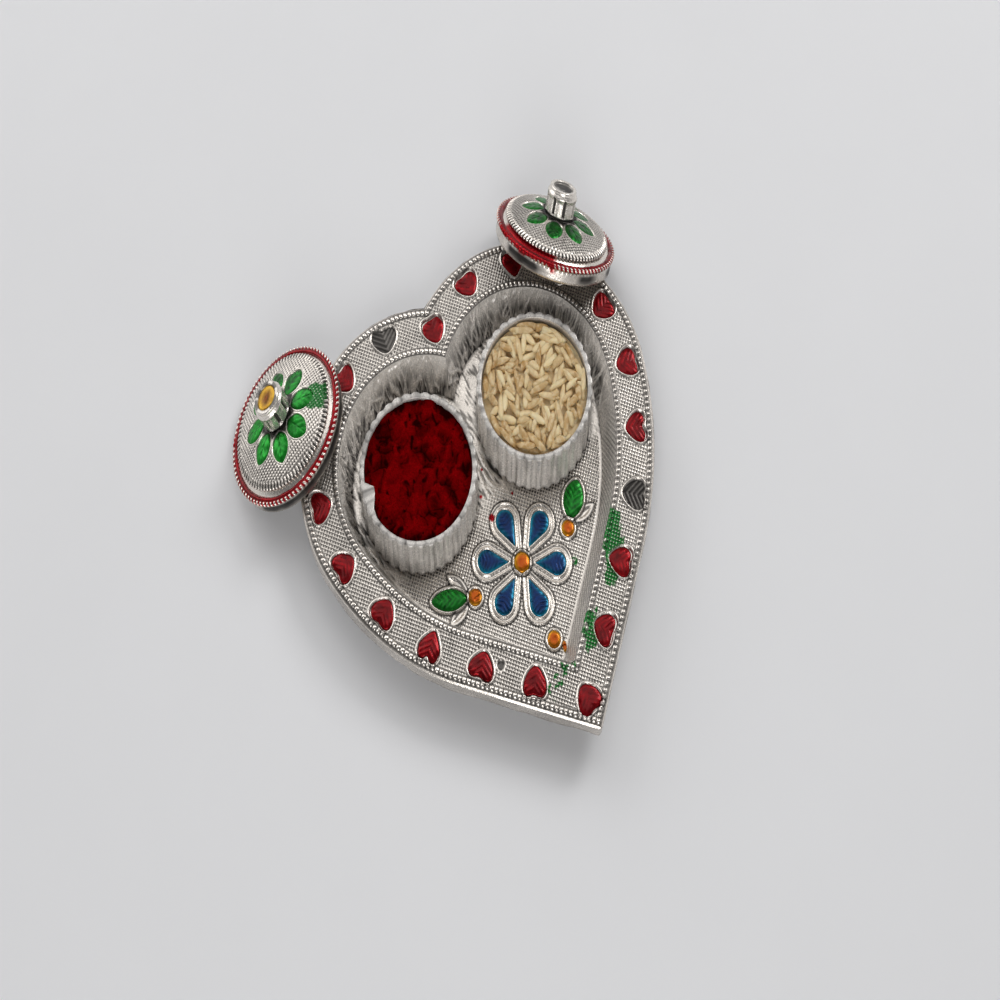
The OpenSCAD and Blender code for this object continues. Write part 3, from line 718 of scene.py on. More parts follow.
def flange():
    """Top of the flange: beaded borders, woven ground, and heart-shaped pockets with raised outlines."""
    edge_rows = [heart(d, FINE) for d in (0.2, 0.4, FLANGE_W - 0.1, FLANGE_W)]
    ground = lattice(FINE, TRAY_SPAN)
    d = inset(*ground.T)[0]
    ground = ground[(d > BEVEL + 0.1) & (d < FLANGE_W - 0.16)]
    xy, faces = within(*joined(heart(0, FINE), np.vstack([*edge_rows, ground])), 0, FLANGE_W)
    x, y = xy.T
    d = inset(x, y)[0]
    z = PLATE_H - np.clip(BEVEL - d, 0, BEVEL)
    grime, green = np.zeros(len(x)), np.zeros(len(x))

    pocket = np.full(len(x), FAR)
    for i in MARK_NUMBERS:
        spot, inward = mark_spot(i)
        near = apart(x, y, spot) < MARK_REACH
        local = spun(xy[near] - spot, math.pi / 2 - inward)
        edge = edge_distance(*local.T, mark_shape(i))
        pocket[near] = np.minimum(pocket[near], edge)
        if i in BARE_MARKS:
            chevron = np.abs(chevrons(local, 2.6))
            sunk = smooth(0.05, -0.15, edge)
            z[near] += sunk * 0.22 * chevron
            # Bare pockets darkened by tarnish and painted shade, less on their ribs
            grime[near] += sunk * (1.1 - 0.22 * chevron)
    z -= MARK_DEPTH * 0.75 * smooth(0.08, -0.12, pocket)
    z += 0.26 * hump(pocket, 0.25, 0.27)
    # Painted shade in the grooves round each pocket's raised outline
    grime += 0.6 * hump(pocket, 0.62, 0.18) + 0.8 * hump(pocket, -0.08, 0.15)
    dimple = apart(x, y, DIMPLE)
    z -= 0.4 * smooth(1.2, 0.5, dimple)
    # Painted shade in the dimple
    grime += 0.9 * smooth(1.25, 0.8, dimple)

    stamp, dots = weave(x, y)
    woven = smooth(2.0, 2.3, d) * smooth(8.8, 8.5, d) * smooth(0.6, 0.8, pocket) * smooth(1.3, 1.5, dimple)
    z += woven * (0.09 * stamp - 0.14 * dots)
    # Weave dots darkened by tarnish and painted shade
    grime += woven * (1.1 * dots + 0.12 * (1 - stamp))
    for row in (OUTER_BORDER, INNER_BORDER):
        bead = 0.5 + 0.5 * np.cos(TAU * along(x, y, row) / BEAD_PITCH)
        rise = hump(d, row, BORDER_W / 2)
        z += rise * (0.16 + 0.24 * bead)
        # Painted shade between the beads and in the grooves beside each border
        grime += rise * smooth(0.45, 0.05, bead)
        for side in (-1, 1):
            grime += 0.9 * hump(d, row + side * (BORDER_W / 2 + 0.12), 0.22)
    z += 0.10 * ripple(x, y, 9, 1)

    for start, end, half, sparse in SMEARS:
        way = np.array(end) - start
        t = np.clip((xy - start) @ way / (way @ way), 0, 1)
        blot = np.hypot(*(xy - start - t[:, None] * way).T) / half
        blot += 0.8 * ripple(x, y, 1.3, 21) + 0.5 * ripple(x, y, 0.6, 23)
        specks = smooth(0.52, 0.66, noise(x, y, 0.9, 24)) if sparse else 1.0
        green += smooth(1.05, 0.85, blot) * smooth(1.0, 0.87, stamp) * specks
    green *= smooth(0.0, 0.3, pocket)
    piece("tray_flange", "heart_tray", "white_metal", SILVER, np.column_stack([x, y, z]), faces,
          grime=grime, green=np.minimum(green, 0.97))


def wall():
    """Sloping wall of the basin: brushed, with painted shade round the lobes that deepens downwards, and
    woven along the sides.
    """
    rings = []
    for f in np.arange(WALL_ROWS) / (WALL_ROWS - 1):
        ring = heart(FLANGE_W + (FLOOR_D - FLANGE_W) * f, WALL_STEP)
        rings.append(at_height(ring, PLATE_H + (FLOOR_Z - PLATE_H) * f))
    p = np.array(rings)
    x, y, z = np.moveaxis(p, -1, 0)
    s = along(x, y, (FLANGE_W + FLOOR_D) / 2) * np.sign(x)
    depth = (PLATE_H - z) / (PLATE_H - FLOOR_Z)
    lobes, sides = smooth(-14, -4, y), smooth(-10, -16, y)
    lean = 4.0 * noise(s, z, 8, 31) + 1.6 * ripple(s, 0, 6, 35) * (z - FLOOR_Z)
    stroke = np.zeros_like(s)
    for way, size, seed, weight in STROKES:
        crossing = 1 - np.abs(2 * noise(s + way * lean, 0.12 * z, size, seed) - 1)
        stroke = np.maximum(stroke, weight * smooth(0.80, 0.96, crossing))
    hatch = noise(3 * s, z, 0.9, 38)
    # Painted shade that deepens down the wall
    depth_shade = 0.12 + 0.75 * smooth(0.0, 0.7, depth + 0.6 * ripple(s, z, 4, 37))
    stamp, dots = weave(0.85 * s, 0.9 * z)
    push = lobes * smooth(0, 0.12, depth) * (0.4 * stroke + 0.25 * hatch - 0.3)
    push = smooth(1, 0.9, depth) * (push + sides * (0.08 * stamp - 0.12 * dots))
    run = np.roll(p, -1, 1) - np.roll(p, 1, 1)
    run = run / np.hypot(run[..., 0], run[..., 1])[..., None]
    verts = grid_points(x + run[..., 1] * push, y - run[..., 0] * push, z)
    # Painted shade on the lobes, broken by the strokes, painted shadow at the wall's foot, and weave dots
    # darkened by tarnish and painted shade along the sides
    grime = lobes * depth_shade * (1 - 0.95 * stroke) * (0.7 + 0.6 * hatch) + 0.3 * smooth(0.93, 1.0, depth)
    grime += (1 - lobes) * 0.15 * noise(s, z, 2.5, 34) + sides * dots
    faces = quads(WALL_ROWS, p.shape[1], True)
    piece("tray_wall", "heart_tray", "white_metal", MATT, verts, faces, grime=grime)


def flower_outlines():
    """Outlines of the flower's petals."""
    return [FLOWER + spun(petal(PETAL_ROOT, PETAL_REACH, PETAL_W), TAU * k / PETALS) for k in range(PETALS)]


def leaf_outlines():
    """Outlines of the two leaves, from their buds."""
    return [bud + spun(worn_down(dense(leaf(*size) + [LEAF_ROOT, 0]), 16), math.radians(turn))
            for bud, turn, size in zip(BUDS, LEAF_TURNS, LEAF_SIZES)]


def blade_outlines():
    """Outlines of the bare metal blades beside each leaf."""
    return [bud + spun(leaf(*BLADE_SIZE) + [BLADE_ROOT, 0], math.radians(turn + a))
            for bud, turn, spread in zip(BUDS, LEAF_TURNS, BLADE_TURNS) for a in spread]


def tray_floor():
    """Floor of the basin: woven ground with the raised outlines of the flower, its buds and leaves."""
    ground, coarse = lattice(FINE, BASIN_SPAN), lattice(COARSE, BASIN_SPAN)
    clear = (inset(*ground.T)[0] > FLOOR_D + 0.12) & (from_cup(*ground.T) - CUP_R > -0.6)
    points = np.vstack([ground[clear], coarse[from_cup(*coarse.T) - CUP_R < -1.2]])
    xy, faces = within(*joined(heart(FLOOR_D, FINE), points), FLOOR_D, TIP_REACH)
    x, y = xy.T
    d = inset(x, y)[0]
    petals = nearest(x, y, flower_outlines())
    leaves = nearest(x, y, leaf_outlines())
    blades = nearest(x, y, blade_outlines())
    rounds = np.min([apart(x, y, FLOWER) - CENTRE_R, *(apart(x, y, bud) - BUD_R for bud in BUDS)], axis=0)

    bare = smooth(1.6, 1.8, petals) * smooth(0.7, 0.95, rounds)
    bare *= smooth(0.7, 0.95, leaves) * smooth(0.1, 0.4, blades)
    plain = 0.9 * smooth(-14, -9, y + 5 * ripple(x, y, 5, 74))
    woven = bare * smooth(FLOOR_D + 0.5, FLOOR_D + 0.9, d) * (1 - plain)
    stamp, dots = weave(x, y)
    scuff = noise(x, 0.5 * y + x, 0.7, 75)
    z = FLOOR_Z + woven * (0.08 * stamp - 0.12 * dots) + bare * plain * 0.12 * scuff
    # Weave dots darkened by tarnish and painted shade
    grime = woven * (dots + 0.05 * (1 - stamp))
    grime += bare * plain * (0.7 * smooth(0.45, 0.15, scuff) + 0.3 * noise(x, y, 3, 76))

    keep = smooth(0.0, 0.5, leaves) * smooth(0, 0.4, rounds)
    z += 0.45 * hump(petals, 0.3, 0.34) + 0.30 * hump(petals, 1.42, 0.24)
    z += 0.42 * hump(rounds, 0.3, 0.34) + 0.42 * hump(leaves, 0.3, 0.34)
    z += keep * 0.28 * hump(blades, -0.1, 0.7)
    # Painted shade in the groove between each petal's two outlines, painted shadows along the raised outlines
    # and painted shadows of the bare blades
    grime += 0.25 * hump(petals, 0.78, 0.2)
    for gap, foot in ((petals, 1.86), (rounds, 0.75), (leaves, 0.78)):
        grime += 0.9 * hump(gap, foot, 0.22) + 0.8 * hump(gap, -0.02, 0.12)
    grime += keep * 0.9 * hump(blades, 0.15, 0.25)
    # Painted shadow round the feet of the cups and along the foot of the wall
    grime += 0.4 * smooth(1.2, 0.1, from_cup(x, y) - CUP_R) + 0.55 * smooth(FLOOR_D + 0.7, FLOOR_D, d)
    z += 0.12 * ripple(x, y, 8, 2) * bare

    red = np.sum([smooth(1.0, 0.6, apart(x, y, spot) / size) for spot, size in RED_SPECKS], axis=0)
    spot, size = GREEN_SPECK
    green = smooth(1.0, 0.5, apart(x, y, spot) / size) * smooth(0.4, 0.6, noise(x, y, 0.8, 22))
    piece("tray_floor", "heart_tray", "white_metal", SILVER, np.column_stack([x, y, z]), faces,
          grime=grime, red=red, green=green)


def underside():
    """Turned-down lip, underside of the flange, outside of the basin, and flat base with rivet pockets."""
    lip_z, under_z, base_d = PLATE_H - LIP_H, PLATE_H - FLANGE_T, FLOOR_D - WALL_T
    lip = [(0, PLATE_H - BEVEL - h) for h in np.linspace(0, LIP_H - BEVEL, 8)]
    lip += [(0.15, lip_z - 0.12), (LIP_T - 0.15, lip_z - 0.12), (LIP_T, lip_z)]
    profile = [*lip, (LIP_T, under_z - 0.3), (LIP_T + 0.3, under_z)]
    profile += [(d, under_z) for d in (4, 7, FLANGE_W - WALL_T - 0.3)]
    head, toe = np.array([FLANGE_W - WALL_T, under_z - 0.3]), np.array([base_d - 0.15, 0.3])
    profile += [head * (1 - f) + toe * f for f in (0, 0.33, 0.67, 1)]
    profile.append((base_d, 0))
    p = np.array([at_height(heart(d, UNDERSIDE_STEP), z) for d, z in profile])
    s = along(p[..., 0], p[..., 1], 0) * np.sign(p[..., 0])
    on_lip = (np.arange(len(profile)) < len(lip))[:, None]
    dent = on_lip * 0.25 * ripple(s, p[..., 2], 3.0, 41)
    away = p[..., :2] - [0, -10]
    p[..., :2] += dent[..., None] * away / np.hypot(away[..., 0], away[..., 1])[..., None]
    on_edge = on_lip * (p[..., 2] < lip_z + 0.2)
    p[..., 2] += on_edge * 0.3 * ripple(s, 0, 5.0, 42)
    shade = 0.1 + 0.25 * noise(s * 0.4, p[..., 2] * 2, 2.0, 43) + 0.3 * ~on_lip

    spread = lattice(COARSE, BASIN_SPAN)
    spread = spread[(inset(*spread.T)[0] > base_d + 0.8) & (from_cup(*spread.T) > 3.2)]
    pockets = [[side * CUP_X, 0] + circle(POCKET_R + wider, 48)
               for side in (-1, 1) for wider in (-0.02, 0.03)]
    edge = heart(base_d, UNDERSIDE_STEP)
    xy, base = within(*joined(edge, np.vstack([spread, *pockets])), base_d, TIP_REACH)
    flat = np.column_stack([xy, np.where(from_cup(*xy.T) < POCKET_R, POCKET_DEPTH, 0.0)])
    rows, cols = p.shape[:2]
    grime = np.concatenate([shade.ravel(), 0.25 + 0.4 * noise(*xy.T, 6, 44)])
    piece("tray_underside", "heart_tray", "white_metal", PLAIN, np.vstack([p.reshape(-1, 3), flat]),
          [quads(rows, cols), base[:, ::-1] + rows * cols], grime=grime)


def pillow(outline, middle, z0, rise, rings, detail):
    """Domed fill of an outline: points, faces, and at each point its nearness to the edge and its rib value,
    which on the lid leaves also carries painted light and shade.
    detail gives the extra height and the rib at points."""
    n = len(outline)
    shares = np.linspace(1, 0, rings + 1)[:-1]
    flat = np.concatenate([middle + (outline - middle) * t for t in shares] + [[middle]])
    edge = np.concatenate([np.repeat(shares, n), [0.0]])
    lift, rib = detail(flat)
    z = z0 + rise * (1 - edge ** 5) + smooth(1.0, 0.85, edge) * lift
    verts = np.vstack([at_height(outline, z0 - 0.3), np.column_stack([flat, z])])
    looks = np.column_stack([edge, np.broadcast_to(rib, edge.shape)])
    looks = np.vstack([np.tile([1.0, 0.0], (n, 1)), looks])
    last = n * (rings + 1)
    top = fan(last - n + np.arange(n), last)
    following = np.roll(outline, -1, 0)
    flip = np.sum(outline[:, 0] * following[:, 1] - outline[:, 1] * following[:, 0]) < 0
    return verts, (quads(rings + 1, n, flip), top[:, ::-1] if flip else top), looks


def fills(name, node, slot, material, parts, sharp, body="plate", placed=np.asarray):
    """Several domed fills as one piece. sharp is how closely their glow keeps to their edge."""
    verts, faces = gathered(parts)
    edge, rib = np.vstack([looks for _, _, looks in parts]).T
    piece(name, node, slot, material, placed(verts), faces, body, edge=edge ** sharp, rib=rib)


def rim_hearts():
    """Red fills of the rim's pockets, hand-laid: each a little off its pocket, with chevron ribs in it."""
    parts = []
    for i in MARK_NUMBERS:
        if i in BARE_MARKS:
            continue
        spot, inward = mark_spot(i)
        base = mark_shape(i)
        wide = 0.95 + 0.12 * ripple(base[:, 0] + 30 * i, base[:, 1], 1.8, 51)
        shift = [0.2 * (rng.random() - 0.5), 0.15 + 0.25 * rng.random()]
        ribs = 0.015 + 0.025 * rng.random()

        def ribbed(points):
            local = spun(points - spot, math.pi / 2 - inward)
            chevron = chevrons(local, 5.2)
            cloud = noise(local[:, 0] + 20 * i, local[:, 1], 1.6, 52)
            return ribs * chevron + 0.14 * (cloud - 0.5), (0.5 + 0.5 * chevron) * smooth(0.3, 0.7, cloud)

        outline = spot + spun(base * wide[:, None] + shift, inward - math.pi / 2)
        parts.append(pillow(outline, outline.mean(0), PLATE_H - 0.22, 0.30, 12, ribbed))
    fills("rim_hearts", "rim_heart_enamel", "red_enamel", RED, parts, 8)


def drop(points):
    """Uneven top of a drop of lacquer, with a few pits: its height, and no rib."""
    return 0.10 * ripple(*points.T, 0.8, 56) - 0.2 * (noise(*points.T, 1.6, 58) > 0.8), 0.0


def flower_fills():
    """Blue petals with fine cross ribs, and the amber centre, buds and dab."""
    parts = []
    for k, outline in enumerate(flower_outlines()):
        lean = TAU * k / PETALS + math.pi / 2

        def ribbed(points):
            reach, side = spun(points - FLOWER, -lean).T
            rib = np.sin((reach - 0.4 * np.abs(side)) * 6.5)
            return 0.03 * rib + 0.08 * ripple(*points.T, 1.2, 55), 0.4 + 0.4 * rib

        middle = FLOWER + turned(lean) * (PETAL_REACH - PETAL_W / 2)
        parts.append(pillow(dense(outline), middle, FLOOR_Z + 0.22, 0.26, 12, ribbed))
    fills("flower_petals", "petal_enamel", "blue_enamel", BLUE, parts, 6)

    centre = pillow(FLOWER + circle(CENTRE_R, 48), FLOWER, FLOOR_Z + 0.24, 0.4, 10, drop)
    fills("flower_centre", "flower_centre_enamel", "amber_enamel", AMBER, [centre], 4)
    buds = [pillow(b + circle(BUD_R, 40), b, FLOOR_Z + 0.24, 0.35, 10, drop) for b in BUDS]
    dab = dense(spun(leaf(*DAB_SIZE) - [DAB_SIZE[0] / 2, 0], 1.2))
    buds.append(pillow(DAB + dab, DAB, FLOOR_Z + 0.2, 0.2, 6, drop))
    fills("flower_buds", "bud_enamel", "amber_enamel", AMBER, buds, 4)


def leaf_fills():
    """Green fills of the two leaves, veined across."""
    parts = []
    for bud, turn, outline in zip(BUDS, LEAF_TURNS, leaf_outlines()):

        def veined(points):
            u, v = spun(points - bud, -math.radians(turn)).T
            vein = np.sin((u - np.abs(v)) * 4.5)
            return 0.03 * vein + 0.12 * ripple(*points.T, 1.2, 57), 0.3 + 0.3 * vein

        parts.append(pillow(outline, outline.mean(0), FLOOR_Z + 0.22, 0.3, 12, veined))
    fills("leaf_fills", "leaf_enamel", "green_enamel", GREEN, parts, 4)


def cup(name, node, side, burr, seed):
    """Fluted cup with a plain rim, which has a burr of the given size on its inner edge."""
    a = round_angles(FLUTES * FLUTE_COLS)
    profile = [(RIVET_HOLE_R, FLOOR_Z, 0), (CUP_R - 0.5, FLOOR_Z, 0.3)]
    profile += [(CUP_R, z, 1.0) for z in np.linspace(FLOOR_Z + 0.1, RIM_Z - 0.7, 14)]
    profile += [(CUP_R, RIM_Z - 0.35, 0.9), (CUP_R - 0.1, RIM_Z - 0.12, 0.7), (CUP_R - 0.3, RIM_Z, 0.45)]
    profile += [(CUP_R - 0.7, RIM_Z + 0.03, 0.12), (BORE_R + 0.3, RIM_Z, 0), (BORE_R + 0.08, RIM_Z - 0.06, 0)]
    profile += [(BORE_R, z, 0) for z in (RIM_Z - 0.25, 11.4, 9, 5, 3)]
    profile += [(BORE_R - 0.3, BORE_Z, 0), (RIVET_HOLE_R, BORE_Z, 0)]
    r, z, fluted = np.array(profile).T[..., None]
    turn = (a * FLUTES / TAU + 0.5) % 1 - 0.5
    off = turn * TAU * CUP_R / FLUTES
    cut = np.clip(np.sqrt(np.clip(FLUTE_R ** 2 - off ** 2, 0, None)) - FLUTE_OUT, 0, None)
    on_rim = smooth(RIM_Z - 0.3, RIM_Z - 0.1, z)
    nick = smooth(0.2, 0.03, np.abs(turn))
    height = z - 0.07 * on_rim * nick
    inner_edge = (r < BORE_R + 0.4) & (z > RIM_Z - 0.3)
    ragged = a + 0.06 * ripple(a * 14, 0, 0.8, seed + 7)
    radius = r - FLUTE_DEPTH * fluted * cut
    radius = radius - burr * inner_edge * smooth(*BURR_START, ragged) * smooth(*BURR_END, ragged)
    radius = radius + 0.16 * fluted * ripple(a * 12, height, 3.0, seed)
    # Painted shade that darkens the flutes towards the floor, with dark streaks painted on them as
    # reflections and painted shade along each flute's edge
    low = 0.3 * smooth(FLOOR_Z + 4, FLOOR_Z, height)
    streak = smooth(0.62, 0.8, noise(a * 30, 0.2 * height, 1.0, seed + 5))
    grime = fluted * (0.3 * smooth(0.05, 0.0, np.abs(cut - 0.06)) + (low + 0.3) * streak)
    # Painted shade on the bore inside the cup
    grime += 0.6 * ((z < RIM_Z - 0.3) & (r < BORE_R + 0.05))
    worn = smooth(0.4, 0.8, noise(a * 16, 0, 1.6, seed + 6))
    grime += on_rim * (0.25 + 0.25 * nick + 0.3 * worn)
    verts = grid_points(side * CUP_X + radius * np.cos(a), radius * np.sin(a), height)
    piece(name, node, "white_metal", MATT, verts, quads(len(profile), len(a)), grime=grime)


def kumkum():
    """Clumped powder, a little lower than the cup's rim."""
    reach = BORE_R - 0.08
    ring = circle(reach, POWDER_RING)
    ground = lattice(POWDER_STEP, 15)
    xy, faces = joined(ring, ground[np.hypot(*ground.T) < reach - 0.12])
    x, y = xy.T
    r = np.hypot(x, y)
    bent_x = x + 1.6 * ripple(x, y, 2.2, 61)
    bent_y = y + 1.6 * ripple(x, y, 2.2, 62)
    near, second, own = cells(bent_x, bent_y, 2.8, 63)
    gap = second - near
    clump = 0.5 * noise(bent_x, bent_y, 3.0, 64) + 0.35 * noise(bent_x, y, 1.5, 66)
    clump += 0.15 * noise(x, bent_y, 0.6, 67)
    crumb = noise(x, y, 0.34, 65)
    z = RIM_Z - 1.75 + 0.4 * (1 - (r / reach) ** 2)
    z += 1.5 * clump + 0.35 * np.sqrt(np.clip(gap, 0, 1)) + 0.3 * own + 0.14 * crumb
    # Painted shade in the hollows between clumps and crumbs
    crevice = 0.8 * smooth(0.62, 0.15, clump) + 0.4 * smooth(0.16, 0.0, gap) * smooth(0.65, 0.4, clump)
    crevice += 0.2 * smooth(0.4, 0.1, crumb)
    crevice += 0.8 * smooth(0.26, 0.08, noise(bent_x, 0.7 * bent_y, 1.0, 68))
    # Painted shadow of the cup's rim along its wall
    crevice += 0.45 * smooth(reach - 2.5, reach - 0.2, r + 1.5 * ripple(x, y, 2.0, 69))
    on_ring = [int(np.argmin(apart(x, y, p))) for p in ring]
    low = len(xy) + np.arange(len(ring))
    side = np.stack([low, np.roll(low, -1), np.roll(on_ring, -1), on_ring], -1)
    verts = np.vstack([np.column_stack([x, y, z]), at_height(ring, POWDER_LOW)]) - [CUP_X, 0, 0]
    piece("kumkum_heap", "kumkum_powder", "kumkum", KUMKUM, verts, [side, faces],
          crevice=np.concatenate([crevice, np.ones(len(ring))]))


def grain_mesh(length, radius, end):
    """Flat-sided rice grain along X, from -1 to end in half lengths, broken off aslant if end is below 1."""
    rings, n = 7, 8
    t = np.linspace(-1, end, rings + 2)[1:-1]
    t[-1] = max(t[-1], end - 0.04) if end < 1 else t[-1]
    a = (np.arange(n) + 0.5) * TAU / n
    width = radius * (1 - np.abs(t) ** 2.4) ** 0.7 * (1 - 0.12 * t)
    y = (width[:, None] * np.cos(a)).ravel()
    z = (width[:, None] * np.sin(a) * FLATNESS).ravel()
    x = np.repeat(t * length / 2, n) + np.repeat(smooth(end - 0.6, end, t), n) * (end < 1) * 0.5 * y
    verts = np.vstack([np.column_stack([x, y, z]), [[-length / 2, 0, 0], [end * length / 2, 0, 0]]])
    ring = np.arange(n)
    ends = [fan(ring, n * rings), fan(ring + n * (rings - 1), n * rings + 1)[:, ::-1]]
    return verts, (quads(rings, n, True), np.vstack(ends))


def rice():
    """Loose grains that lie every way, dropped one after another into the cup, and the bed under them."""
    cell = 0.25
    half = round(BORE_R / cell) + 2
    level = np.full((2 * half + 1, 2 * half + 1), RIM_Z - 2.6)

    def cells_at(points):
        return tuple(np.clip(np.round(points / cell).astype(int) + half, 0, 2 * half).T)

    parts = []
    for _ in range(GRAIN_TRIES):
        length = GRAIN_L * (0.82 + 0.25 * rng.random())
        radius = GRAIN_R * (0.84 + 0.26 * rng.random())
        end = 1.0 if rng.random() < WHOLE_SHARE else -0.1 + 0.8 * rng.random()
        a, turn = TAU * rng.random(), math.pi * rng.random()
        middle = (BORE_R - 0.25 - radius) * math.sqrt(rng.random()) * turned(a)
        way = turned(turn)
        t = np.linspace(-1, end, GRAIN_SAMPLES)
        line = middle + t[:, None] * way * length / 2
        if np.hypot(*line[[0, -1]].T).max() > BORE_R - 0.3:
            continue
        under = level[cells_at(line)]
        climb = under[-END_SAMPLES:].mean() - under[:END_SAMPLES].mean()
        pitch = float(np.clip(climb / (length * 0.35 * (1 + end)), -0.4, 0.4))
        rise = pitch * t * length / 2
        z = float((under - rise).max()) * 0.35 + float(under.mean()) * 0.65 + 0.4 * radius
        if z > RIM_Z - 0.45:
            continue
        for off in np.linspace(-radius, radius, 9):
            spots = cells_at(line + np.array([-way[1], way[0]]) * off)
            bulge = np.sqrt(np.clip(radius ** 2 * (1 - np.abs(t) ** 2.6) - off ** 2, 0, None))
            level[spots] = np.maximum(level[spots], z + rise + 0.6 * bulge)
        roll = Matrix.Rotation(0.9 * (rng.random() - 0.5), 3, "X")
        lay = Matrix.Rotation(turn, 3, "Z") @ Matrix.Rotation(-math.atan(pitch), 3, "Y") @ roll
        verts, faces = grain_mesh(length, radius, end)
        parts.append((verts @ np.array(lay).T + [CUP_X + middle[0], middle[1], z], faces))
    bed_edge = at_height(circle(BORE_R - 0.1, BED_POINTS) + [CUP_X, 0], RIM_Z - 1.9)
    bed = np.vstack([bed_edge, [[CUP_X, 0, RIM_Z - 1.3]]])
    parts.append((bed, (np.zeros((0, 4), int), fan(np.arange(BED_POINTS), BED_POINTS))))
    piece("rice_heap", "rice_grains", "rice", RICE, *gathered(parts), faceted=True)


def dome_at(r):
    """Height of a lid's dome at radius r."""
    out = (np.maximum(r, SEAT_R) - SEAT_R) / (DISC_R - SEAT_R)
    return DOME_Z - (DOME_Z - DISC_Z) * out ** DOME_CURVE


def lid_place(lid):
    """Function that takes points from a lid's own frame, which its ring and knob give, to the plate's."""
    ring, post = (np.array([v.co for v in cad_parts[lid + part].data.vertices]) / MM
                  for part in ("_band_enamel", "_knob"))
    middle = (ring.min(0) + ring.max(0)) / 2
    axis = np.linalg.svd(ring - middle, full_matrices=False)[2][2]
    axis = axis * np.sign(axis @ (post.mean(0) - middle))
    turn = Matrix.Rotation(math.atan2(axis[1], axis[0]), 3, "Z") @ Matrix.Rotation(math.acos(axis[2]), 3, "Y")
    origin = middle - axis * (SHELF_Z + 0.2)
    return lambda points: points @ np.array(turn).T + origin


def lid_petal(name, k):
    """Direction and outline of petal k of a lid: a leaf that points outwards."""
    a = LID_TURNS[name] + TAU * k / LID_PETALS
    return a, spun(leaf(LID_PETAL_L, LID_PETAL_W) + [LID_PETAL_ROOT, 0], a)


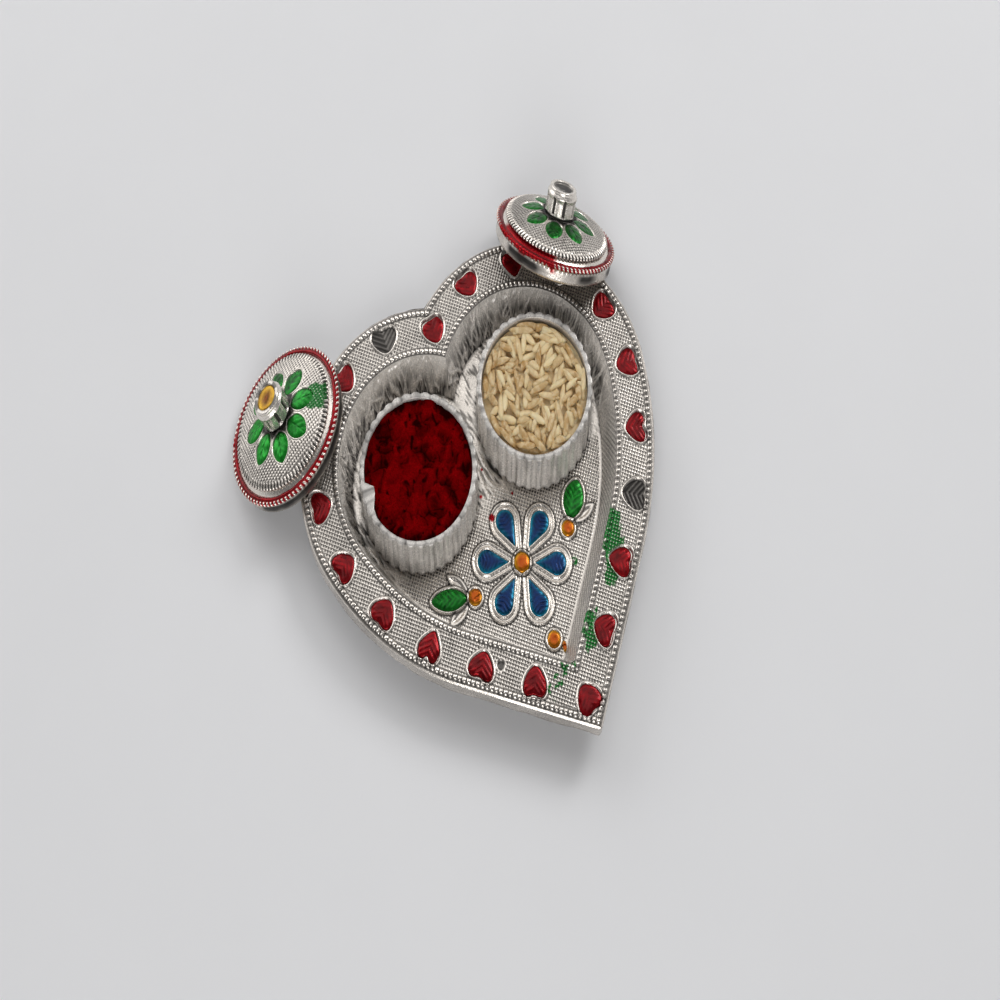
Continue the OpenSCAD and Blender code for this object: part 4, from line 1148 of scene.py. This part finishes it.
def lid_shell(name, body, patch, splash, dome_shade, seed):
    """Metal of a lid: skirt, rope bead, shelf for the band, milled disc and woven dome with leaf pockets.
    patch is the painted stretch of its slope, splash its green spots, dome_shade how much painted shade
    darkens its dome."""
    a = round_angles(LID_COLS)
    rows = [(1.1, DOME_Z - DOME_T)] + [(r, dome_at(r) - DOME_T) for r in (4.2, 6, 8, 10, 11.5, 12.7)]
    rows += [(12.9, 4.0), (12.9, 2.5), (13.0, 2.4), (15.8, 2.4), (SKIRT_BORE, 2.2), (SKIRT_BORE, 1.0)]
    rows += [(SKIRT_BORE, 0.1), (SKIRT_BORE + 0.12, 0), (SKIRT_R - 0.12, 0), (SKIRT_R, 0.12)]
    skirt_first = len(rows) - 1
    rows += [(SKIRT_R, z) for z in (0.6, 1.2, 1.8, 2.3)]
    bead_first = len(rows)
    rows += [*arc((SKIRT_R, BEAD_Z), BEAD_R, -1.45, 1.75, 11)]
    bead_last = len(rows)
    rows += [(BAND_R, SHELF_Z + 0.25), (BAND_R, SHELF_Z), (BAND_MID, SHELF_Z), (BAND_IN, SHELF_Z)]
    rows += [(BAND_IN - 0.1, 3.35), (14.8, 3.6), (14.3, 3.82), (14.05, 3.95), (14.0, 4.02)]
    mill_first = len(rows)
    rows += [(14.3, 4.1), (DISC_R, 4.2), (DISC_R + 0.02, 4.35), (DISC_R, 4.55), (DISC_R - 0.12, 4.68)]
    mill_last = len(rows)
    rows += [(r, dome_at(r)) for r in np.arange(DISC_R - 0.3, SEAT_R - 0.3, -FINE)]
    r, z = np.array(rows).T[..., None]
    k = np.arange(len(rows))[:, None]
    on_skirt = (k >= skirt_first) & (k < bead_first)
    on_bead = (k >= bead_first) & (k < bead_last)
    dome = k >= mill_last

    twist = np.cos(a * ROPE_TWISTS + 1.3 * (k - bead_first) / (bead_last - bead_first) * math.pi)
    radius = r + on_bead * (0.18 * twist - 0.06)
    height = z + on_bead * 0.08 * twist
    # Painted shade between the rope's twists
    grime = on_bead * smooth(0.1, -0.7, twist)
    on_mill = (k >= mill_first) * smooth(13.3, 13.6, radius)
    mill = np.cos(a * MILL_TEETH)
    radius = radius + on_mill * ~dome * 0.14 * mill
    height = height + on_mill * dome * (0.16 * mill - 0.02)
    # Painted shade in the milled grooves and under the disc's edge
    grime += on_mill * smooth(0.3, -0.5, mill) + 0.8 * (k == mill_first - 1) + 0.5 * (k == mill_first)
    radius = radius + on_skirt * 0.14 * ripple(a * 16, height, 3, seed)
    # A dark band painted round the skirt as a reflection
    grime += on_skirt * 0.95 * hump(height, 1.3, 1.0) * smooth(0.15, 0.5, noise(a * 5, 0, 2.0, seed + 1))
    # Painted reflections streak the skirt, and painted shade fills the inside of the lid
    grime += on_skirt * (0.12 + 0.2 * noise(a * 20, height * 2, 2.0, seed + 1)) + (k < skirt_first) * 0.45

    x, y = radius * np.cos(a), radius * np.sin(a)
    leaves = nearest(x, y, [lid_petal(name, n)[1] for n in range(LID_PETALS)])
    stamp, dots = weave(x, y)
    woven = dome * smooth(13.4, 13.1, radius) * smooth(SEAT_R + 0.1, SEAT_R + 0.5, radius)
    woven = woven * smooth(0.4, 0.6, leaves)
    height = height + woven * (0.14 * stamp - 0.06 * dots)
    height = height + dome * (0.08 * hump(leaves, 0.15, 0.18) - 0.35 * smooth(0.05, -0.15, leaves))
    # Weave dots darkened by tarnish and painted shade, the dome darkened further by painted shade, and
    # painted shade round the leaf pockets
    grime += woven * (0.9 * dots + dome_shade * (1.1 - 0.7 * stamp)) + dome * 0.5 * hump(leaves, 0.35, 0.15)
    # Painted shadow of the knob round its seat
    grime += dome * 0.97 * smooth(SEAT_R + 1.6, SEAT_R + 0.5, radius)

    start, end = patch
    swing = (a - start) % TAU
    painted = smooth(0.0, 0.15, swing) * smooth(end - start, end - start - 0.12, swing)
    drip = bead_first + 5 - 7 * smooth(0.35, 0.75, noise(a * 14, 0, 3.0, seed + 2))
    red = ((k >= bead_first + 2) & (k < bead_last + 4)) * smooth(0.75, -0.2, twist)
    red = red + ((k >= drip) & (k < mill_first)) * painted
    green = np.zeros(radius.shape)
    for spot, size in splash:
        blot = apart(x, y, spot) / size + 0.5 * ripple(x, y, 1.4, seed + 3)
        green += dome * smooth(1.0, 0.8, blot)
    green *= smooth(1.0, 0.95, stamp)
    piece(name + "_shell", name, "white_metal", SILVER, lid_place(name)(grid_points(x, y, height)),
          quads(len(rows), len(a)), body, grime=grime, red=red, green=np.minimum(green, 0.95))


def lid_band(name, body, seed):
    """Red enamel ring of a lid, uneven in height and glow."""
    a = round_angles(BAND_COLS)
    outer = [(16.2, SHELF_Z), (16.19, 3.48), (16.08, 3.6)]
    profile = [*outer, (BAND_MID, 3.66), *((2 * BAND_MID - r, z) for r, z in outer[::-1])]
    r, z = np.array(profile).T[..., None]
    z = z + (z > SHELF_Z + 0.1) * 0.16 * ripple(a * 16, 0, 1.4, seed + 4)
    verts = lid_place(name)(grid_points(r * np.cos(a), r * np.sin(a), z))
    glow = 0.6 * noise(a * 16, 0, 2.0, seed + 5)
    piece(name + "_band", name + "_band_enamel", "red_enamel", RED, verts, quads(len(profile), len(a)), body,
          edge=np.tile(glow, len(profile)))


def lid_leaves(name, body, side_light, seed):
    """Green fills of a lid's leaf pockets, veined. side_light is how much painted light makes the green paler
    on one side; near the knob painted shade darkens it.
    """
    parts = []
    for n in range(LID_PETALS):
        lean, outline = lid_petal(name, n)

        def veined(points):
            u, v = spun(points, -lean).T
            vein = np.sin((u - 0.9 * np.abs(v)) * 4.2)
            spine = np.exp(-(v / 0.16) ** 2)
            cloud = noise(points[:, 0] + 9 * n, points[:, 1], 1.5, seed + 6)
            # Painted light pales the green on one side of the lid; near the knob it falls back to the deep
            # green as a painted shadow
            rib = side_light * (0.5 + 0.5 * math.sin(lean)) + 0.2 * vein + 0.8 * (cloud - 0.4)
            rib = rib * (1 - 0.6 * spine) * smooth(LID_PETAL_ROOT + 0.3, LID_PETAL_ROOT + 2.2, u)
            return 0.02 * vein - 0.06 * spine + 0.18 * (cloud - 0.5), rib

        middle = turned(lean) * (LID_PETAL_ROOT + LID_PETAL_L / 2)
        verts, faces, looks = pillow(dense(outline), middle, -0.2, 0.3, 10, veined)
        verts[:, 2] += dome_at(np.hypot(verts[:, 0], verts[:, 1]))
        looks[:, 0] = looks[:, 0] ** 6 * noise(verts[:, 0] + 7 * n, verts[:, 1], 2.0, seed + 7)
        parts.append((verts, faces, looks))
    fills(name + "_leaves", name + "_petal_enamel", "green_enamel", GREEN, parts, 1, body, lid_place(name))


def knob(name, body, filled, seed):
    """Slotted post on a narrow foot, with a cap and a dished top, bare and dented or filled with amber."""
    a = round_angles(KNOB_SLOTS * SLOT_COLS)
    end = KNOB_END_R
    rows = [(1.2, 0), (end - 0.1, 0), (end, 0.1), (end, 0.4), (end + 0.1, 0.47)]
    rows += [(KNOB_R - 0.15, 0.5), (KNOB_R, 0.62)]
    low_post = len(rows) - 1
    rows += [(KNOB_R, h) for h in np.arange(0.76, 4.35, 0.12)]
    high_post = len(rows)
    rows += [(KNOB_R - 0.03, 4.45), (KNOB_R - 0.14, 4.62), (end + 0.12, 4.85), (end + 0.02, 5.0), (end, 5.1)]
    rows += [(end + 0.03, 5.25), (end + 0.02, 5.45), (end - 0.06, 5.62), (end - 0.25, KNOB_H), (2.95, KNOB_H)]
    rows += [(2.78, KNOB_H - 0.06), (2.7, KNOB_H - 0.2), (2.68, 5.15)]
    top_first = len(rows)
    rows += [(2.2, 5.14), (1.6, 5.13), (1.0, 5.12), (0.5, 5.11), (0.02, 5.1)]
    r, h = np.array(rows).T[..., None]
    k = np.arange(len(rows))[:, None]
    on_post = (k >= low_post) & (k < high_post)
    top = k >= top_first
    off = np.abs(((a - LID_TURNS[name]) * KNOB_SLOTS / TAU) % 1 - 0.5) * TAU * KNOB_R / KNOB_SLOTS
    open_half = SLOT_HALF * hump(np.maximum(h, SLOT_TOP), SLOT_TOP, SLOT_HALF) * (h > SLOT_LOW)
    slot = on_post * smooth(open_half + 0.02, open_half - 0.08, off)
    hollow = on_post * (1 - smooth(0.6, 1.64, np.abs(off - 1.65)))
    radius = r - 0.8 * slot - 0.18 * hollow * smooth(4.4, 3.4, h)
    # Painted shade in the slots, on the foot under the post and in the hollows between slots
    grime = 0.97 * slot + (k <= low_post) * 0.9 + hollow * 0.15
    # Painted shade at the inner edge of the dish
    grime += ((k >= top_first - 2) & (k <= top_first)) * 0.6
    # Dark patches painted on the ring round a filled top as a reflection
    ring_shade = smooth(0.35, 0.6, noise(a * 3, 0, 1.5, seed + 3))
    grime += filled * ((k >= top_first - 5) & (k < top_first - 2)) * (0.25 + 0.6 * ring_shade)
    radius = radius + 0.06 * ripple(a * 4, h, 1.2, seed) * (r > 2.9)
    x, y = radius * np.cos(a), radius * np.sin(a)
    if not filled:
        dent = noise(x, y, 2.4, seed + 2) - 0.35 * apart(x, y, (0.8, -0.6)) / 2.7
        h = h + top * (0.7 * dent + 0.1)
        facet = noise(x + 0.6 * y, y - 0.6 * x, 1.3, seed + 2)
        # Dark reflections painted on the facets of a bare top
        grime += top * (0.25 + 0.7 * smooth(0.62, 0.45, facet))
    placed = lid_place(name)
    piece(name + "_post", name + "_knob", "white_metal", PLAIN, placed(grid_points(x, y, h + DOME_Z)),
          quads(len(rows), len(a)), body, grime=grime)
    if filled:
        def dished(points):
            dip = smooth(1.6, 0.4, apart(*points.T, (0.3, -0.2)))
            return 0.12 * ripple(*points.T, 0.9, seed + 1) - 0.2 * dip, 0.0

        disc = pillow(circle(DISH_R, 48), np.zeros(2), DOME_Z + 5.4, 0.2, 10, dished)
        fills(name + "_knob_fill", name + "_knob_enamel", "amber_enamel", TOPAZ, [disc], 2, body, placed)


def lid(name, body, patch, splash, side_light, dome_shade, seed, filled, knob_seed):
    """A lid with its band, leaves and knob."""
    lid_shell(name, body, patch, splash, dome_shade, seed)
    lid_band(name, body, seed)
    lid_leaves(name, body, side_light, seed)
    knob(name, body, filled, knob_seed)


flange()
wall()
tray_floor()
underside()
rim_hearts()
flower_fills()
leaf_fills()
cup("kumkum_cup_shell", "kumkum_cup", side=-1, burr=2.2, seed=71)
cup("rice_cup_shell", "rice_cup", side=1, burr=0.0, seed=72)
kumkum()
rice()
lid("kumkum_lid", "kumkum_cover", patch=(0.0, 0.3), splash=(((-11.2, -3.9), 3.2), ((-10.6, -2.2), 1.8)),
    side_light=1.0, dome_shade=0.15, seed=81, filled=True, knob_seed=91)
lid("rice_lid", "rice_cover", patch=(2.1, 3.47), splash=(((9.5, -3.0), 0.8),),
    side_light=0.1, dome_shade=0.3, seed=101, filled=False, knob_seed=111)

for node in ("kumkum_cup_rivet", "rice_cup_rivet", "kumkum_lid_knob_rivet", "rice_lid_knob_rivet"):
    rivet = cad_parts[node]
    rivet.data.materials.clear()
    rivet.data.materials.append(PLAIN)

# Studio, in metres
FLOOR_HALF = 6.0
HORIZON = (0.62, 0.62, 0.63)
DIM = (0.13, 0.13, 0.133)
LIGHTS_MEET = Vector((0, -0.015, 0))


def soft_box(name, place, width, height, watts):
    """Rectangular light that faces the plate."""
    light = bpy.data.lights.new(name, "AREA")
    light.shape = "RECTANGLE"
    light.size, light.size_y = width, height
    light.energy = watts
    obj = bpy.data.objects.new(name, light)
    obj.location = place
    obj.rotation_euler = (LIGHTS_MEET - obj.location).to_track_quat("-Z", "Y").to_euler()
    bpy.context.scene.collection.objects.link(obj)


def studio():
    """Pale floor that fades into a dim room with a pale horizon, and large soft boxes all round."""
    w = FLOOR_HALF
    mesh = bpy.data.meshes.new("floor")
    mesh.from_pydata([(-w, -w, 0), (w, -w, 0), (w, w, 0), (-w, w, 0)], [], [(0, 1, 2, 3)])
    s = Shader("pale floor")
    pale = s.mix(s.noise(40.0), (0.85, 0.85, 0.86), (0.88, 0.88, 0.89))
    reach = s.add("VectorMath", {"operation": "LENGTH"}, Vector=s.place()).outputs["Value"]
    far = s.math("MULTIPLY", s.span(reach, 0.3, 0.9), s.seen())
    s.set(Base_Color=s.mix(far, pale, (0.0, 0.0, 0.0)), Roughness=0.7, Emission_Strength=far,
          Emission_Color=HORIZON)
    mesh.materials.append(s.material)
    ground = bpy.data.objects.new("floor", mesh)
    bpy.context.scene.collection.objects.link(ground)

    room = Shader("room", bpy.data.worlds.new("room"))
    bpy.context.scene.world = room.material
    up = room.add("SeparateXYZ", Vector=room.add("TexCoord").outputs["Generated"]).outputs["Z"]
    low = room.math("MULTIPLY", room.span(up, 0.2, 0.5, 1.0, 0.0), room.seen())
    room.set(Color=room.mix(low, DIM, HORIZON))

    soft_box("overhead", (0.19, 0.33, 0.74), 0.55, 0.55, watts=1.0)
    soft_box("front", (-0.34, -0.60, 0.46), 0.5, 0.5, watts=2.6)
    soft_box("key", (0.62, 0.16, 0.58), 0.34, 0.34, watts=2.2)
    soft_box("back", (-0.20, 0.66, 0.40), 0.8, 0.5, watts=2.2)


def camera():
    """View from the photograph's place. The photograph is a wide frame squeezed sideways into a square, so
    the camera spans more of an angle across than up."""
    half_up, half_across = 0.2257, 0.3381
    lens = bpy.data.cameras.new("camera")
    lens.type = "PANO"
    lens.panorama_type = "EQUIRECTANGULAR"
    lens.latitude_min, lens.latitude_max = -half_up, half_up
    lens.longitude_min, lens.longitude_max = -half_across, half_across
    lens.clip_start = 0.01
    place = Vector((-0.09197, -0.17329, 0.35680))
    right = Vector((0.87416, -0.48558, 0.00705))
    down = Vector((-0.42685, -0.77520, -0.46569))
    ahead = Vector((0.23159, 0.40408, -0.88492))
    obj = bpy.data.objects.new("camera", lens)
    axes = Matrix((right, -down, -ahead)).transposed().to_4x4()
    obj.matrix_world = Matrix.Translation(place) @ axes
    bpy.context.scene.collection.objects.link(obj)
    bpy.context.scene.camera = obj


studio()
camera()
bpy.context.scene.view_settings.view_transform = "Standard"
